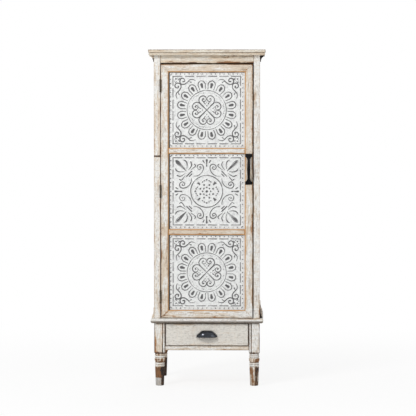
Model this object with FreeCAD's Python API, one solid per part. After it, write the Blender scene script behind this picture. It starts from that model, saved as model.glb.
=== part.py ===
import FreeCAD, Part
import math
import os

# Accent cabinet: a narrow cupboard on turned legs. An inset door with three
# pressed metal panels hangs at the left, and a small drawer slides between the legs.
# Millimetres. +Z is up, the front faces -Y, and the origin is on the floor
# under the middle of the whole cabinet.

# Whole cabinet
cabinet_height = 1300.0
body_width = 408.0
body_depth = 330.0
edge_bevel = 1.0
overrun = 5.0

# Top board and the bead strip under its edge
top_board_thickness = 12.5
top_board_overhang = 21.0
bead_height = 10.0
bead_setback = 1.5

# Crown moulding on the two sides
crown_height = 25.0
crown_reach = 18.0
crown_foot = 3.0
crown_fillet_height = 4.0

# Face frame
frame_thickness = 18.0
frame_stile_width = 24.0
frame_rail_height = 40.0

# Side panels, back and shelves
side_thickness = 15.0
back_thickness = 6.0
shelf_thickness = 15.0
shelf_groove_depth = 5.0
shelf_door_clearance = 6.0

# Base board and the base moulding on the two sides
base_board_top = 262.5
base_board_thickness = 18.0
base_board_overhang = 13.5
base_moulding_height = 38.0
base_moulding_reach = 10.0
base_moulding_lip = 3.0
base_moulding_foot = 5.0

# Door frame
door_thickness = 18.0
door_side_gap = 2.5
door_latch_gap = 4.0
door_top_gap = 4.5
door_bottom_gap = 2.5
door_stile_width = 30.0
door_middle_rail = 22.0
door_edge_bevel = 2.0
panel_recess = 7.0
rebate_width = 6.0

# Pressed metal panels and the boards behind them
panel_thickness = 1.0
panel_fit = 0.5
backing_thickness = 6.0
emboss_height = 1.4
frame_line_width = 3.0
frame_line_inset = 18.5
ring_radius = 73.0
ring_width = 3.0
petal_count = 16
petal_start = 80.0
petal_length = 38.0
petal_width = 36.0
heart_count = 4
heart_start = 5.0
heart_length = 48.0
heart_width = 44.0
corner_leaf_length = 34.0
corner_leaf_width = 15.0
corner_leaf_angle = 38.0
corner_dot_radius = 3.2
corner_dot_reach = 11.0
medallion_radius = 61.0
medallion_dot_radius = 6.0
medallion_ring_radius = 15.0
medallion_bead_radius = 3.2
medallion_bead_count = 8
sprig_start = 21.0
sprig_length = 32.0
sprig_width = 18.0
lily_start = 66.0
lily_petal_length = 76.0
lily_petal_width = 20.0
lily_side_start = 70.0
lily_side_length = 48.0
lily_side_width = 15.0
lily_side_angle = 17.0
side_leaf_start = 68.0
side_leaf_length = 46.0
side_leaf_width = 16.0
ring_sides = 36
dot_sides = 8
leaf_steps = 4
petal_steps = 6
petal_foot_share = 0.45
heart_steps = 5

# Butt hinges
hinge_height = 50.0
hinge_inset = 57.0
hinge_leaf_depth = 15.0
hinge_leaf_thickness = 1.0
knuckle_radius = 3.5
knuckle_count = 3
knuckle_sides = 16
knuckle_end_clearance = 0.15
knuckle_face_clearance = 0.3
pin_radius = 1.75
pin_clearance = 0.05

# Door pull
pull_length = 119.0
pull_end_width = 28.0
pull_grip_width = 12.5
pull_waist_width = 9.6
pull_projection = 26.0
pull_end_thickness = 3.0
pull_grip_thickness = 6.0
pull_foot_length = 17.0
pull_flare_length = 26.0
pull_end_flat = 12.0
pull_screw_inset = 10.0
pull_bow_steps = 12
pull_flare_steps = 5

# Magnetic catch
catch_width = 44.0
catch_height = 11.0
catch_depth = 15.0
catch_plate_height = 16.0
catch_plate_thickness = 1.5
catch_face_clearance = 0.4
catch_edge_inset = 30.0
catch_lip = 2.0

# Legs
leg_size = 42.0
leg_block_bottom = 126.0
leg_shoulder = 3.5
leg_foot_radius = 16.0
leg_foot_bevel = 1.5
leg_ankle_radius = 18.6
leg_groove_radius = 16.8
leg_groove_height = 1.3
leg_collar_radius = 19.2
leg_collar_height = 6.8
leg_bulb_foot_radius = 17.6
leg_bulb_radius = 20.8
leg_bulb_height = 16.4
leg_ring_radius = 20.4
leg_ring_height = 6.4
leg_neck_ring_radius = 19.2
leg_neck_ring_height = 6.8
leg_ring_bulge = 1.6
leg_neck_height = 2.0
leg_sides = 20
leg_round_steps = 3
bulb_widest_share = 0.72

# Stand boards
apron_thickness = 15.0
apron_setback = 3.0
drawer_rail_height = 16.0
drawer_rail_depth = 20.0
drawer_rail_lift = 13.0

# Drawer
drawer_front_thickness = 18.0
drawer_front_setback = 1.5
drawer_side_gap = 2.5
drawer_top_gap = 2.5
drawer_bottom_gap = 2.0
drawer_side_thickness = 12.0
drawer_side_height = 74.0
drawer_box_clearance = 2.0
drawer_back_clearance = 0.5
drawer_bottom_thickness = 4.0
drawer_bottom_height = 8.0
drawer_groove_depth = 5.0
slide_clearance = 0.3
guide_clearance = 0.5
runner_inner_reach = 3.0
runner_guide_height = 14.0

# Cup pull on the drawer
cup_width = 82.5
cup_top_width = 38.0
cup_height = 26.0
cup_depth = 24.0
cup_corner_height = 4.0
cup_wall = 2.5
cup_round_steps = 6
cup_drop = 9.5
cup_screw_spacing = 34.0
cup_screw_height = 17.0
cup_boss_radius = 4.0

# Machine screws of the two pulls
screw_radius = 2.0
screw_hole_clearance = 0.25
screw_head_radius = 4.0
screw_head_height = 2.5
screw_grip = 5.0
peg_sides = 12

# Main planes worked out from the sizes above
front_reach = max(top_board_overhang, base_board_overhang, pull_projection)
y_front = front_reach / 2 - body_depth / 2
y_back = y_front + body_depth
half_width = body_width / 2
panel_inner_x = half_width - side_thickness
y_frame_back = y_front + frame_thickness
top_board_bottom = cabinet_height - top_board_thickness
bead_bottom = top_board_bottom - bead_height
base_board_bottom = base_board_top - base_board_thickness
door_left = -half_width + frame_stile_width + door_side_gap
door_right = half_width - frame_stile_width - door_latch_gap
door_bottom = base_board_top + door_bottom_gap
door_top = top_board_bottom - frame_rail_height - door_top_gap
y_door_back = y_front + door_thickness
opening_left = door_left + door_stile_width
opening_right = door_right - door_stile_width
opening_width = opening_right - opening_left
opening_height = (door_top - door_bottom - 2 * door_stile_width - 2 * door_middle_rail) / 3
opening_step = opening_height + door_middle_rail
panel_x = (opening_left + opening_right) / 2
panel_names = ["bottom", "middle", "top"]
opening_bottoms = [door_bottom + door_stile_width + i * opening_step for i in range(3)]
y_panel_face = y_front + panel_recess
y_panel_back = y_panel_face + panel_thickness
drawer_front_top = base_board_bottom - drawer_top_gap
leg_inner_x = half_width - leg_size
drawer_half_width = leg_inner_x - drawer_side_gap
drawer_box_half = leg_inner_x - drawer_box_clearance
runner_length = body_depth - 2 * leg_size
drawer_rail_bottom = leg_block_bottom + drawer_rail_lift
drawer_rail_top = drawer_rail_bottom + drawer_rail_height
drawer_front_bottom = drawer_rail_top + drawer_bottom_gap
y_drawer_front = y_front + drawer_front_setback
y_drawer_back = y_drawer_front + drawer_front_thickness
y_apron_front = y_back - apron_setback - apron_thickness
y_drawer_end = y_apron_front - drawer_back_clearance
apron_inner_x = half_width - apron_setback - apron_thickness
hinge_x = door_left - door_side_gap / 2
hinge_y = y_front - knuckle_radius - knuckle_face_clearance
hinge_bottoms = {
    "bottom": door_bottom + hinge_inset,
    "middle": (door_bottom + door_top - hinge_height) / 2,
    "top": door_top - hinge_inset - hinge_height,
}
shelf_lower_z = opening_bottoms[1] - door_middle_rail / 2 - shelf_thickness / 2
shelf_upper_z = opening_bottoms[2] - door_middle_rail / 2 - shelf_thickness / 2
y_shelf_front = y_door_back + shelf_door_clearance
y_back_panel = y_back - back_thickness


def point(x, y, z):
    return FreeCAD.Vector(x, y, z)


def box(x0, x1, y0, y1, z0, z1):
    """A board given by its low and high sides along X, Y and Z."""
    return Part.makeBox(x1 - x0, y1 - y0, z1 - z0, point(x0, y0, z0))


def eased(board):
    """Break every edge of a board with a small bevel."""
    return board.makeChamfer(edge_bevel, board.Edges)


def cylinder(radius, x, y, z, height, direction=(0, 0, 1)):
    return Part.makeCylinder(radius, height, point(x, y, z), point(*direction))


def disc_face(radius, sides):
    """A many sided disc in the XZ plane."""
    corners = []
    for k in range(sides):
        turn = 2 * math.pi * (k + 0.5) / sides
        corners.append(point(radius * math.sin(turn), 0, radius * math.cos(turn)))
    return polygon(corners)


def peg(radius, x, y0, y1, z):
    """A many sided pin, or the hole for one, lying along Y."""
    pin = disc_face(radius, peg_sides).extrude(point(0, y1 - y0, 0))
    pin.translate(point(x, y0, z))
    return pin


def face_of(edges):
    return Part.Face(Part.Wire(edges))


def polygon(points):
    return face_of(Part.makePolygon(points + points[:1]).Edges)


def mirrored(shape):
    """The same piece on the other side of the cabinet."""
    return shape.mirror(point(0, 0, 0), point(1, 0, 0))


def line(a, b):
    return Part.LineSegment(a, b).toShape()


def arc(a, middle, b):
    return Part.Arc(a, middle, b).toShape()


# Top board and bead


def make_top_board():
    x = half_width + top_board_overhang
    board = box(-x, x, y_front - top_board_overhang, y_back, top_board_bottom, cabinet_height)
    return eased(board)


def bead_strip(length):
    """A half round strip lying along +X from the origin, its bead towards -Y."""
    reach = top_board_overhang - bead_setback
    radius = bead_height / 2
    low = point(0, radius - reach, 0)
    high = point(0, radius - reach, bead_height)
    nose = point(0, -reach, radius)
    edges = [
        line(point(0, 0, 0), low),
        arc(low, nose, high),
        line(high, point(0, 0, bead_height)),
        line(point(0, 0, bead_height), point(0, 0, 0)),
    ]
    return face_of(edges).extrude(point(length, 0, 0))


def make_front_bead():
    """The front strip, mitred at both ends to meet the side strips."""
    reach = top_board_overhang
    strip = bead_strip(body_width + 2 * reach)
    strip.translate(point(-half_width - reach, y_front, bead_bottom))
    plan = [
        point(-half_width, y_front, bead_bottom),
        point(half_width, y_front, bead_bottom),
        point(half_width + reach, y_front - reach, bead_bottom),
        point(-half_width - reach, y_front - reach, bead_bottom),
    ]
    return strip.common(polygon(plan).extrude(point(0, 0, bead_height)))


def make_left_bead():
    """The left strip, mitred at the front and cut square at the back."""
    reach = top_board_overhang
    strip = bead_strip(body_depth + reach)
    strip.rotate(point(0, 0, 0), point(0, 0, 1), -90)
    strip.translate(point(-half_width, y_back, bead_bottom))
    plan = [
        point(-half_width, y_back, bead_bottom),
        point(-half_width, y_front, bead_bottom),
        point(-half_width - reach, y_front - reach, bead_bottom),
        point(-half_width - reach, y_back, bead_bottom),
    ]
    return strip.common(polygon(plan).extrude(point(0, 0, bead_height)))


# Side mouldings


def make_left_crown():
    """A cove that leans out from the side panel to the bead above."""
    x = -half_width
    top = bead_bottom
    bottom = top - crown_height
    shoulder = top - crown_fillet_height
    cove_middle = point(x - crown_reach / 2 + crown_foot / 2, y_frame_back, bottom + crown_height / 2)
    edges = [
        line(point(x, y_frame_back, bottom), point(x, y_frame_back, top)),
        line(point(x, y_frame_back, top), point(x - crown_reach, y_frame_back, top)),
        line(point(x - crown_reach, y_frame_back, top), point(x - crown_reach, y_frame_back, shoulder)),
        arc(
            point(x - crown_reach, y_frame_back, shoulder),
            cove_middle,
            point(x - crown_foot, y_frame_back, bottom),
        ),
        line(point(x - crown_foot, y_frame_back, bottom), point(x, y_frame_back, bottom)),
    ]
    return face_of(edges).extrude(point(0, y_back - y_frame_back, 0))


def make_left_base_moulding():
    """A flared strip that stands on the base board against the side panel."""
    x = -half_width
    bottom = base_board_top
    top = bottom + base_moulding_height
    foot_top = bottom + base_moulding_foot
    flare_middle = point(
        x - base_moulding_lip / 2 - base_moulding_reach / 3, y_frame_back, (foot_top + top) / 2
    )
    edges = [
        line(point(x, y_frame_back, top), point(x, y_frame_back, bottom)),
        line(point(x, y_frame_back, bottom), point(x - base_moulding_reach, y_frame_back, bottom)),
        line(
            point(x - base_moulding_reach, y_frame_back, bottom),
            point(x - base_moulding_reach, y_frame_back, foot_top),
        ),
        arc(
            point(x - base_moulding_reach, y_frame_back, foot_top),
            flare_middle,
            point(x - base_moulding_lip, y_frame_back, top),
        ),
        line(point(x - base_moulding_lip, y_frame_back, top), point(x, y_frame_back, top)),
    ]
    return face_of(edges).extrude(point(0, y_back - y_frame_back, 0))


# Base board


def make_base_board():
    """The cabinet floor, with a half round nose along the front and both sides."""
    x = half_width + base_board_overhang
    board = box(-x, x, y_front - base_board_overhang, y_back, base_board_bottom, base_board_top)
    radius = (base_board_thickness - edge_bevel) / 2
    nosed = [e for e in board.Edges if is_nose_edge(e)]
    return board.makeFillet(radius, nosed)


def is_nose_edge(edge):
    """Long edges of the front and the two sides; the back edges stay square."""
    first = edge.Vertexes[0].Point
    last = edge.Vertexes[1].Point
    at_back = first.y > y_back - overrun and last.y > y_back - overrun
    upright = abs(first.z - last.z) > overrun
    return not at_back and not upright


# Face frame, side panels, back and shelves


def make_frame_stile_left():
    x = -half_width
    return box(x, x + frame_stile_width, y_front, y_frame_back, base_board_top, top_board_bottom)


def make_frame_stile_right():
    x = half_width
    return box(x - frame_stile_width, x, y_front, y_frame_back, base_board_top, top_board_bottom)


def make_frame_rail():
    x = half_width - frame_stile_width
    z = top_board_bottom - frame_rail_height
    return box(-x, x, y_front, y_frame_back, z, top_board_bottom)


def make_left_side_panel():
    """A plain board with a groove for each shelf on its inner face."""
    panel = box(-half_width, -panel_inner_x, y_frame_back, y_back, base_board_top, top_board_bottom)
    for z in [shelf_lower_z, shelf_upper_z]:
        groove = box(
            -panel_inner_x - shelf_groove_depth,
            -panel_inner_x + overrun,
            y_shelf_front,
            y_back_panel,
            z,
            z + shelf_thickness,
        )
        panel = panel.cut(groove)
    return panel


def make_back_panel():
    return box(-panel_inner_x, panel_inner_x, y_back_panel, y_back, base_board_top, top_board_bottom)


def make_shelf(z):
    x = panel_inner_x + shelf_groove_depth
    return box(-x, x, y_shelf_front, y_back_panel, z, z + shelf_thickness)


# Legs


def turned_ring(height, radius):
    """A ring between two grooves: its height and its lower, widest and upper radius."""
    side = radius - leg_ring_bulge
    return (height, side, radius, side)


def turned_steps():
    """The turnings from the ankle up to the block, with a groove under each of them."""
    collar = turned_ring(leg_collar_height, leg_collar_radius)
    bulb = (leg_bulb_height, leg_bulb_foot_radius, leg_bulb_radius, leg_ring_radius - leg_ring_bulge)
    ring = turned_ring(leg_ring_height, leg_ring_radius)
    neck_ring = turned_ring(leg_neck_ring_height, leg_neck_ring_radius)
    return [collar, collar, bulb, ring, neck_ring]


def rounded_radius(lower, widest, upper, share):
    """Radius at a share of the height: a quarter sine up to the widest place and one down from it."""
    peak = 0.5 if lower == upper else bulb_widest_share
    if share <= peak:
        return lower + (widest - lower) * math.sin(share / peak * math.pi / 2)
    return upper + (widest - upper) * math.cos((share - peak) / (1 - peak) * math.pi / 2)


def leg_outline():
    """Half outline of the turned part as (radius, height) from the foot up into the block."""
    steps = turned_steps()
    z = leg_block_bottom - leg_neck_height - sum(step[0] + leg_groove_height for step in steps)
    outline = [
        (leg_foot_radius - leg_foot_bevel, 0),
        (leg_foot_radius, leg_foot_bevel),
        (leg_ankle_radius, z),
    ]
    for height, lower, widest, upper in steps:
        outline.append((leg_groove_radius, z + leg_groove_height / 2))
        z += leg_groove_height
        for k in range(leg_round_steps + 1):
            share = k / leg_round_steps
            outline.append((rounded_radius(lower, widest, upper, share), z + height * share))
        z += height
    outline.append((leg_groove_radius, leg_block_bottom - leg_neck_height / 2))
    outline.append((leg_groove_radius, leg_block_bottom + leg_shoulder))
    return outline


def leg_section(radius, z):
    """The corners of one many sided section of a turned part, a side facing the front."""
    corners = []
    for k in range(leg_sides):
        turn = 2 * math.pi * (k + 0.5) / leg_sides
        corners.append(point(radius * math.cos(turn), radius * math.sin(turn), z))
    return corners


def turned_solid(outline):
    """A solid of flat sides between the sections of an outline of (radius, height)."""
    sections = [leg_section(radius, z) for radius, z in outline]
    faces = [polygon(sections[0]), polygon(sections[-1])]
    for low, high in zip(sections, sections[1:]):
        for k in range(leg_sides):
            faces.append(polygon([low[k - 1], low[k], high[k], high[k - 1]]))
    return Part.Solid(Part.Shell(faces))


def make_leg(x, y):
    """A square block above, turned below, with shoulders cut where the lathe reached the block."""
    half = leg_size / 2
    corner = half * math.sqrt(2) / math.cos(math.pi / leg_sides)
    shoulders = [
        (half - leg_shoulder, leg_block_bottom),
        (corner, leg_block_bottom + leg_shoulder * 2),
        (corner, base_board_bottom),
    ]
    block = box(-half, half, -half, half, leg_block_bottom, base_board_bottom)
    block = block.common(turned_solid(shoulders))
    leg = turned_solid(leg_outline()).fuse(block).removeSplitter()
    leg.translate(point(x, y, 0))
    return leg


# Stand boards


def make_left_apron():
    x = -half_width + apron_setback
    return box(
        x, x + apron_thickness, y_front + leg_size, y_back - leg_size, drawer_rail_bottom, base_board_bottom
    )


def make_back_apron():
    y1 = y_back - apron_setback
    return box(-leg_inner_x, leg_inner_x, y_apron_front, y1, drawer_rail_bottom, base_board_bottom)


def make_drawer_rail():
    y = y_drawer_front
    return box(-leg_inner_x, leg_inner_x, y, y + drawer_rail_depth, drawer_rail_bottom, drawer_rail_top)


def make_left_runner():
    """An L: the ledge under the drawer side and the guide beside it."""
    top = drawer_front_bottom - slide_clearance
    inner = -drawer_box_half + drawer_side_thickness + runner_inner_reach
    guide = -drawer_box_half - guide_clearance
    y0 = y_front + leg_size
    y1 = y0 + runner_length
    ledge = box(-apron_inner_x, inner, y0, y1, drawer_rail_bottom, top)
    side = box(-apron_inner_x, guide, y0, y1, top, top + runner_guide_height)
    return ledge.fuse(side).removeSplitter()


# Door frame


def opening_cutter(bottom):
    """The opening for one panel, with its front bevel and the rebate behind."""
    top = bottom + opening_height
    left = opening_left
    right = opening_right
    through = box(left, right, y_front - overrun, y_door_back + overrun, bottom, top)
    rebate = box(
        left - rebate_width,
        right + rebate_width,
        y_panel_face,
        y_door_back + overrun,
        bottom - rebate_width,
        top + rebate_width,
    )
    bevel = bevel_cutter(left, right, bottom, top)
    return through.fuse(rebate).fuse(bevel)


def bevel_cutter(left, right, bottom, top):
    """A shallow pyramid that bevels the front edges of the opening."""
    wires = []
    for grow, y in [(door_edge_bevel * 2, y_front - door_edge_bevel), (0, y_front + door_edge_bevel)]:
        corners = [
            point(left - grow, y, bottom - grow),
            point(right + grow, y, bottom - grow),
            point(right + grow, y, top + grow),
            point(left - grow, y, top + grow),
        ]
        wires.append(Part.makePolygon(corners + corners[:1]))
    return Part.makeLoft(wires, True, True)


def framed_board(corners):
    """A door frame member from its four corners (x, z), with its panel edges cut."""
    face = polygon([point(x, y_front, z) for x, z in corners])
    board = face.extrude(point(0, door_thickness, 0))
    for z in opening_bottoms:
        board = board.cut(opening_cutter(z))
    return board


def make_door_stile_left():
    x = door_left
    w = door_stile_width
    corners = [(x, door_bottom), (x + w, door_bottom + w), (x + w, door_top - w), (x, door_top)]
    return framed_board(corners)


def make_door_stile_right():
    x = door_right
    w = door_stile_width
    corners = [(x, door_bottom), (x - w, door_bottom + w), (x - w, door_top - w), (x, door_top)]
    board = framed_board(corners)
    for z in pull_screw_heights():
        board = board.cut(screw_hole(pull_x(), z, y_front, door_thickness))
    return board


def make_door_rail_top():
    w = door_stile_width
    z = door_top
    return framed_board([(door_left, z), (door_left + w, z - w), (door_right - w, z - w), (door_right, z)])


def make_door_rail_bottom():
    w = door_stile_width
    z = door_bottom
    return framed_board([(door_left, z), (door_left + w, z + w), (door_right - w, z + w), (door_right, z)])


def make_door_middle_rail(z):
    """A narrow rail whose square ends butt against the stiles."""
    top = z + door_middle_rail
    corners = [(opening_left, z), (opening_right, z), (opening_right, top), (opening_left, top)]
    return framed_board(corners)


# Pressed metal panels


def pad(face, x, z, angle):
    """Raise an outline drawn in the XZ plane, turn it about Y and set it on a panel."""
    solid = face.extrude(point(0, -emboss_height - panel_thickness / 2, 0))
    solid.rotate(point(0, 0, 0), point(0, 1, 0), -angle)
    solid.translate(point(x, y_panel_face + panel_thickness / 2, z))
    return solid


def leaf_face(start, length, width):
    """A pointed leaf along +Z from start, its sides bowed by a sine."""
    corners = []
    for side in (-1, 1):
        for k in range(leaf_steps):
            share = k / leaf_steps if side < 0 else 1 - k / leaf_steps
            corners.append(point(side * width / 2 * math.sin(math.pi * share), 0, start + length * share))
    return polygon(corners)


def petal_face(start, length, width):
    """A scallop: narrow foot, straight sides and a half round head."""
    radius = width / 2
    foot = radius * petal_foot_share
    corners = [point(foot, 0, start), point(-foot, 0, start)]
    for k in range(petal_steps + 1):
        turn = math.pi * k / petal_steps
        corners.append(point(-radius * math.cos(turn), 0, start + length - radius + radius * math.sin(turn)))
    return polygon(corners)


def heart_face(start, length, width):
    """A heart along +Z with its point at start: two half round lobes on two straight flanks."""
    lobe = width / 4
    shoulder = start + length - lobe
    corners = [point(0, 0, start)]
    for side in (-1, 1):
        for k in range(heart_steps + 1):
            turn = math.pi * k / heart_steps
            corners.append(point(side * lobe - lobe * math.cos(turn), 0, shoulder + lobe * math.sin(turn)))
    corners.pop(heart_steps + 1)
    return polygon(corners)


def ring_pad(x, z, radius, width):
    outer = pad(disc_face(radius + width / 2, ring_sides), x, z, 0)
    inner = pad(disc_face(radius - width / 2, ring_sides), x, z, 0)
    return outer.cut(inner)


def square_line(x, z):
    """The raised square line round the ornament."""
    inset = frame_line_inset
    half_x = opening_width / 2 - inset
    half_z = opening_height / 2 - inset
    y0 = y_panel_face - emboss_height / 2
    y1 = y_panel_face + panel_thickness / 2
    w = frame_line_width
    outer = box(x - half_x, x + half_x, y0, y1, z - half_z, z + half_z)
    inner = box(x - half_x + w, x + half_x - w, y0 - overrun, y1 + overrun, z - half_z + w, z + half_z - w)
    return outer.cut(inner)


def corner_offset():
    """Distance from a panel's centre to the inner corner of its square line."""
    half = min(opening_width, opening_height) / 2 - frame_line_inset - frame_line_width
    return half * math.sqrt(2)


def corner_pads(x, z):
    """In each corner a dot and a pair of leaves that spring from it."""
    pads = []
    for k in range(4):
        angle = 45 + 90 * k
        turn = math.radians(angle)
        reach = corner_offset() - corner_dot_reach
        dot_x = x - reach * math.sin(turn)
        dot_z = z + reach * math.cos(turn)
        pads.append(pad(disc_face(corner_dot_radius, dot_sides), dot_x, dot_z, 0))
        for side in (-1, 1):
            leaf = leaf_face(corner_dot_reach, corner_leaf_length, corner_leaf_width)
            pads.append(pad(leaf, dot_x, dot_z, angle + 180 + side * corner_leaf_angle))
    return pads


def rosette_pads(x, z):
    """A ring of scallops round a circle with four hearts."""
    pads = [ring_pad(x, z, ring_radius, ring_width)]
    for k in range(petal_count):
        angle = (k + 0.5) * 360 / petal_count
        pads.append(pad(petal_face(petal_start, petal_length, petal_width), x, z, angle))
    for k in range(heart_count):
        pads.append(pad(heart_face(heart_start, heart_length, heart_width), x, z, k * 360 / heart_count))
    return pads + corner_pads(x, z)


def medallion_pads(x, z):
    """A circle with dots and sprigs, a lily in each corner and leaves between them."""
    dot = disc_face(medallion_dot_radius, dot_sides)
    pads = [ring_pad(x, z, medallion_radius, ring_width), pad(dot, x, z, 0)]
    for k in range(medallion_bead_count):
        turn = math.radians(k * 360 / medallion_bead_count)
        bead_x = x + medallion_ring_radius * math.cos(turn)
        bead_z = z + medallion_ring_radius * math.sin(turn)
        pads.append(pad(disc_face(medallion_bead_radius, dot_sides), bead_x, bead_z, 0))
    for k in range(4):
        diagonal = 45 + 90 * k
        pads.append(pad(leaf_face(side_leaf_start, side_leaf_length, side_leaf_width), x, z, 90 * k))
        pads.append(pad(leaf_face(sprig_start, sprig_length, sprig_width), x, z, diagonal))
        pads.append(pad(leaf_face(lily_start, lily_petal_length, lily_petal_width), x, z, diagonal))
        for side in (-1, 1):
            leaf = leaf_face(lily_side_start, lily_side_length, lily_side_width)
            pads.append(pad(leaf, x, z, diagonal + side * lily_side_angle))
    return pads


def make_panel(bottom, ornament):
    grow = rebate_width - panel_fit
    x = panel_x
    z = bottom + opening_height / 2
    sheet = box(
        opening_left - grow,
        opening_right + grow,
        y_panel_face,
        y_panel_back,
        bottom - grow,
        bottom + opening_height + grow,
    )
    pads = ornament(x, z) + [square_line(x, z)]
    return sheet.multiFuse(pads).removeSplitter()


def make_backing(bottom):
    grow = rebate_width - panel_fit
    return box(
        opening_left - grow,
        opening_right + grow,
        y_panel_back,
        y_panel_back + backing_thickness,
        bottom - grow,
        bottom + opening_height + grow,
    )


# Hinges


def knuckle(bottom, index):
    height = hinge_height / knuckle_count
    z = bottom + index * height
    trim = knuckle_end_clearance / 2
    z0 = z + (trim if index > 0 else 0)
    z1 = z + height - (trim if index < knuckle_count - 1 else 0)
    outer = disc_face(knuckle_radius, knuckle_sides).extrude(point(0, z1 - z0, 0))
    outer.rotate(point(0, 0, 0), point(1, 0, 0), 90)
    outer.translate(point(hinge_x, hinge_y, z0))
    return outer, z0, z1


def make_hinge_leaf(bottom, side):
    """One leaf with its share of the knuckles. side is -1 at the cabinet, 1 at the door."""
    face_x = hinge_x + side * door_side_gap / 2
    inner_x = face_x - side * hinge_leaf_thickness
    low_x = min(face_x, inner_x)
    high_x = max(face_x, inner_x)
    leaf_end = y_front + hinge_leaf_depth
    leaf = box(low_x, high_x, y_front - knuckle_face_clearance, leaf_end, bottom, bottom + hinge_height)
    first = 0 if side < 0 else 1
    for index in range(first, knuckle_count, 2):
        outer, z0, z1 = knuckle(bottom, index)
        leaf = leaf.fuse(outer)
        leaf = leaf.fuse(box(low_x, high_x, hinge_y, y_front, z0, z1))
    bore_radius = pin_radius + pin_clearance
    bore = cylinder(bore_radius, hinge_x, hinge_y, bottom - overrun, hinge_height + 2 * overrun)
    leaf = leaf.cut(bore)
    return leaf.removeSplitter()


def make_hinge_pins():
    """One plain pin through the knuckles of each hinge."""
    pins = [cylinder(pin_radius, hinge_x, hinge_y, z, hinge_height) for z in hinge_bottoms.values()]
    return Part.makeCompound(pins)


# Door pull


def pull_x():
    return door_right - door_stile_width / 2


def pull_top():
    return opening_bottoms[1] + opening_height


def pull_screw_heights():
    return [pull_top() - pull_length + pull_screw_inset, pull_top() - pull_screw_inset]


def pull_half_width(z):
    """Half width of the pull at a height over its middle: straight ends, hollow flares, full grip."""
    neck = pull_length / 2 - pull_flare_length
    flat = pull_length / 2 - pull_end_flat
    reach = abs(z)
    if reach > flat:
        return pull_end_width / 2
    if reach > neck:
        rise = 1 - math.sqrt(1 - ((reach - neck) / (flat - neck)) ** 2)
        return pull_waist_width / 2 + (pull_end_width - pull_waist_width) / 2 * rise
    swell = (pull_grip_width - pull_waist_width) / 2
    return pull_waist_width / 2 + swell * math.cos(reach / neck * math.pi / 2)


def pull_front_outline():
    """Front view of the pull, its curves in short chords."""
    half = pull_length / 2
    neck = half - pull_flare_length
    flat = half - pull_end_flat
    heights = [half, flat]
    for k in range(pull_flare_steps):
        turn = math.pi / 2 * (k + 1) / pull_flare_steps
        heights.append(neck + (flat - neck) * math.cos(turn))
    heights += [neck * share for share in (2 / 3, 1 / 3)]
    heights += [0] + [-z for z in reversed(heights)]
    right = [point(pull_half_width(z), 0, z) for z in heights]
    left = [point(-pull_half_width(z), 0, z) for z in reversed(heights)]
    return polygon(right + left)


def pull_side_outline():
    """Side view of the pull: a bridge with a flat foot at each end."""
    half = pull_length / 2
    foot = half - pull_foot_length
    corners = [point(0, 0, half), point(0, 0, foot)]
    for k in range(1, pull_bow_steps):
        share = 1 - 2 * k / pull_bow_steps
        bow = (pull_projection - pull_grip_thickness) * math.cos(share * math.pi / 2)
        corners.append(point(0, -bow, share * foot))
    corners += [point(0, 0, -foot), point(0, 0, -half)]
    for k in range(pull_bow_steps + 1):
        share = 2 * k / pull_bow_steps - 1
        bow = (pull_projection - pull_end_thickness) * math.cos(share * math.pi / 2)
        corners.append(point(0, -pull_end_thickness - bow, share * half))
    return polygon(corners)


def make_door_pull():
    front = pull_front_outline().extrude(point(0, -pull_projection - overrun, 0))
    width = pull_end_width + 2 * overrun
    side = pull_side_outline().extrude(point(width, 0, 0))
    side.translate(point(-width / 2, 0, 0))
    pull = front.common(side)
    pull.translate(point(pull_x(), y_front, pull_top() - pull_length / 2))
    for z in pull_screw_heights():
        pull = pull.cut(peg(screw_radius, pull_x(), y_front - pull_screw_grip(), y_front, z))
    return pull


def pull_screw_grip():
    """How far a screw reaches into a foot of the pull."""
    return pull_end_thickness * 3 / 2


def screw_hole(x, z, y, depth):
    return peg(screw_radius + screw_hole_clearance, x, y - overrun, y + depth + overrun, z)


def machine_screw(x, z, y_face, wood, grip):
    """A screw set from behind: head at the back, shank through the wood into the pull."""
    y_head = y_face + wood
    shank = peg(screw_radius, x, y_face - grip, y_head, z)
    head = peg(screw_head_radius, x, y_head, y_head + screw_head_height, z)
    return shank.fuse(head)


def make_door_pull_screws():
    screws = [
        machine_screw(pull_x(), z, y_front, door_thickness, pull_screw_grip()) for z in pull_screw_heights()
    ]
    return Part.makeCompound(screws)


# Magnetic catch


def make_catch():
    """The catch body under the upper shelf, with two steel lips towards the door."""
    x1 = door_right - catch_edge_inset
    x0 = x1 - catch_width
    y0 = y_door_back + catch_plate_thickness + catch_face_clearance
    y_body = max(y0 + catch_lip, y_shelf_front)
    body = box(x0, x1, y_body, y_body + catch_depth, shelf_upper_z - catch_height, shelf_upper_z)
    lip_height = catch_height / 4
    for k in (0, 1):
        z = shelf_upper_z - catch_height + lip_height / 2 + k * 2 * lip_height
        body = body.fuse(box(x0 + catch_lip, x1 - catch_lip, y0, y_body + catch_lip, z, z + lip_height))
    return body.removeSplitter()


def make_catch_plate():
    x1 = door_right - catch_edge_inset
    x0 = x1 - catch_width
    z = shelf_upper_z - catch_height / 2
    half = catch_plate_height / 2
    return box(x0, x1, y_door_back, y_door_back + catch_plate_thickness, z - half, z + half)


# Drawer


def make_drawer_front():
    front = box(
        -drawer_half_width,
        drawer_half_width,
        y_drawer_front,
        y_drawer_back,
        drawer_front_bottom,
        drawer_front_top,
    )
    front = eased(front)
    for x in cup_screw_places():
        front = front.cut(screw_hole(x, cup_screw_z(), y_drawer_front, drawer_front_thickness))
    return front.cut(drawer_groove())


def drawer_groove():
    """The slot that holds the drawer's bottom board in the front and the sides."""
    x = drawer_box_half - drawer_side_thickness + drawer_groove_depth
    z = drawer_front_bottom + drawer_bottom_height
    y0 = y_drawer_back - drawer_groove_depth
    return box(-x, x, y0, y_drawer_end, z, z + drawer_bottom_thickness)


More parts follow.
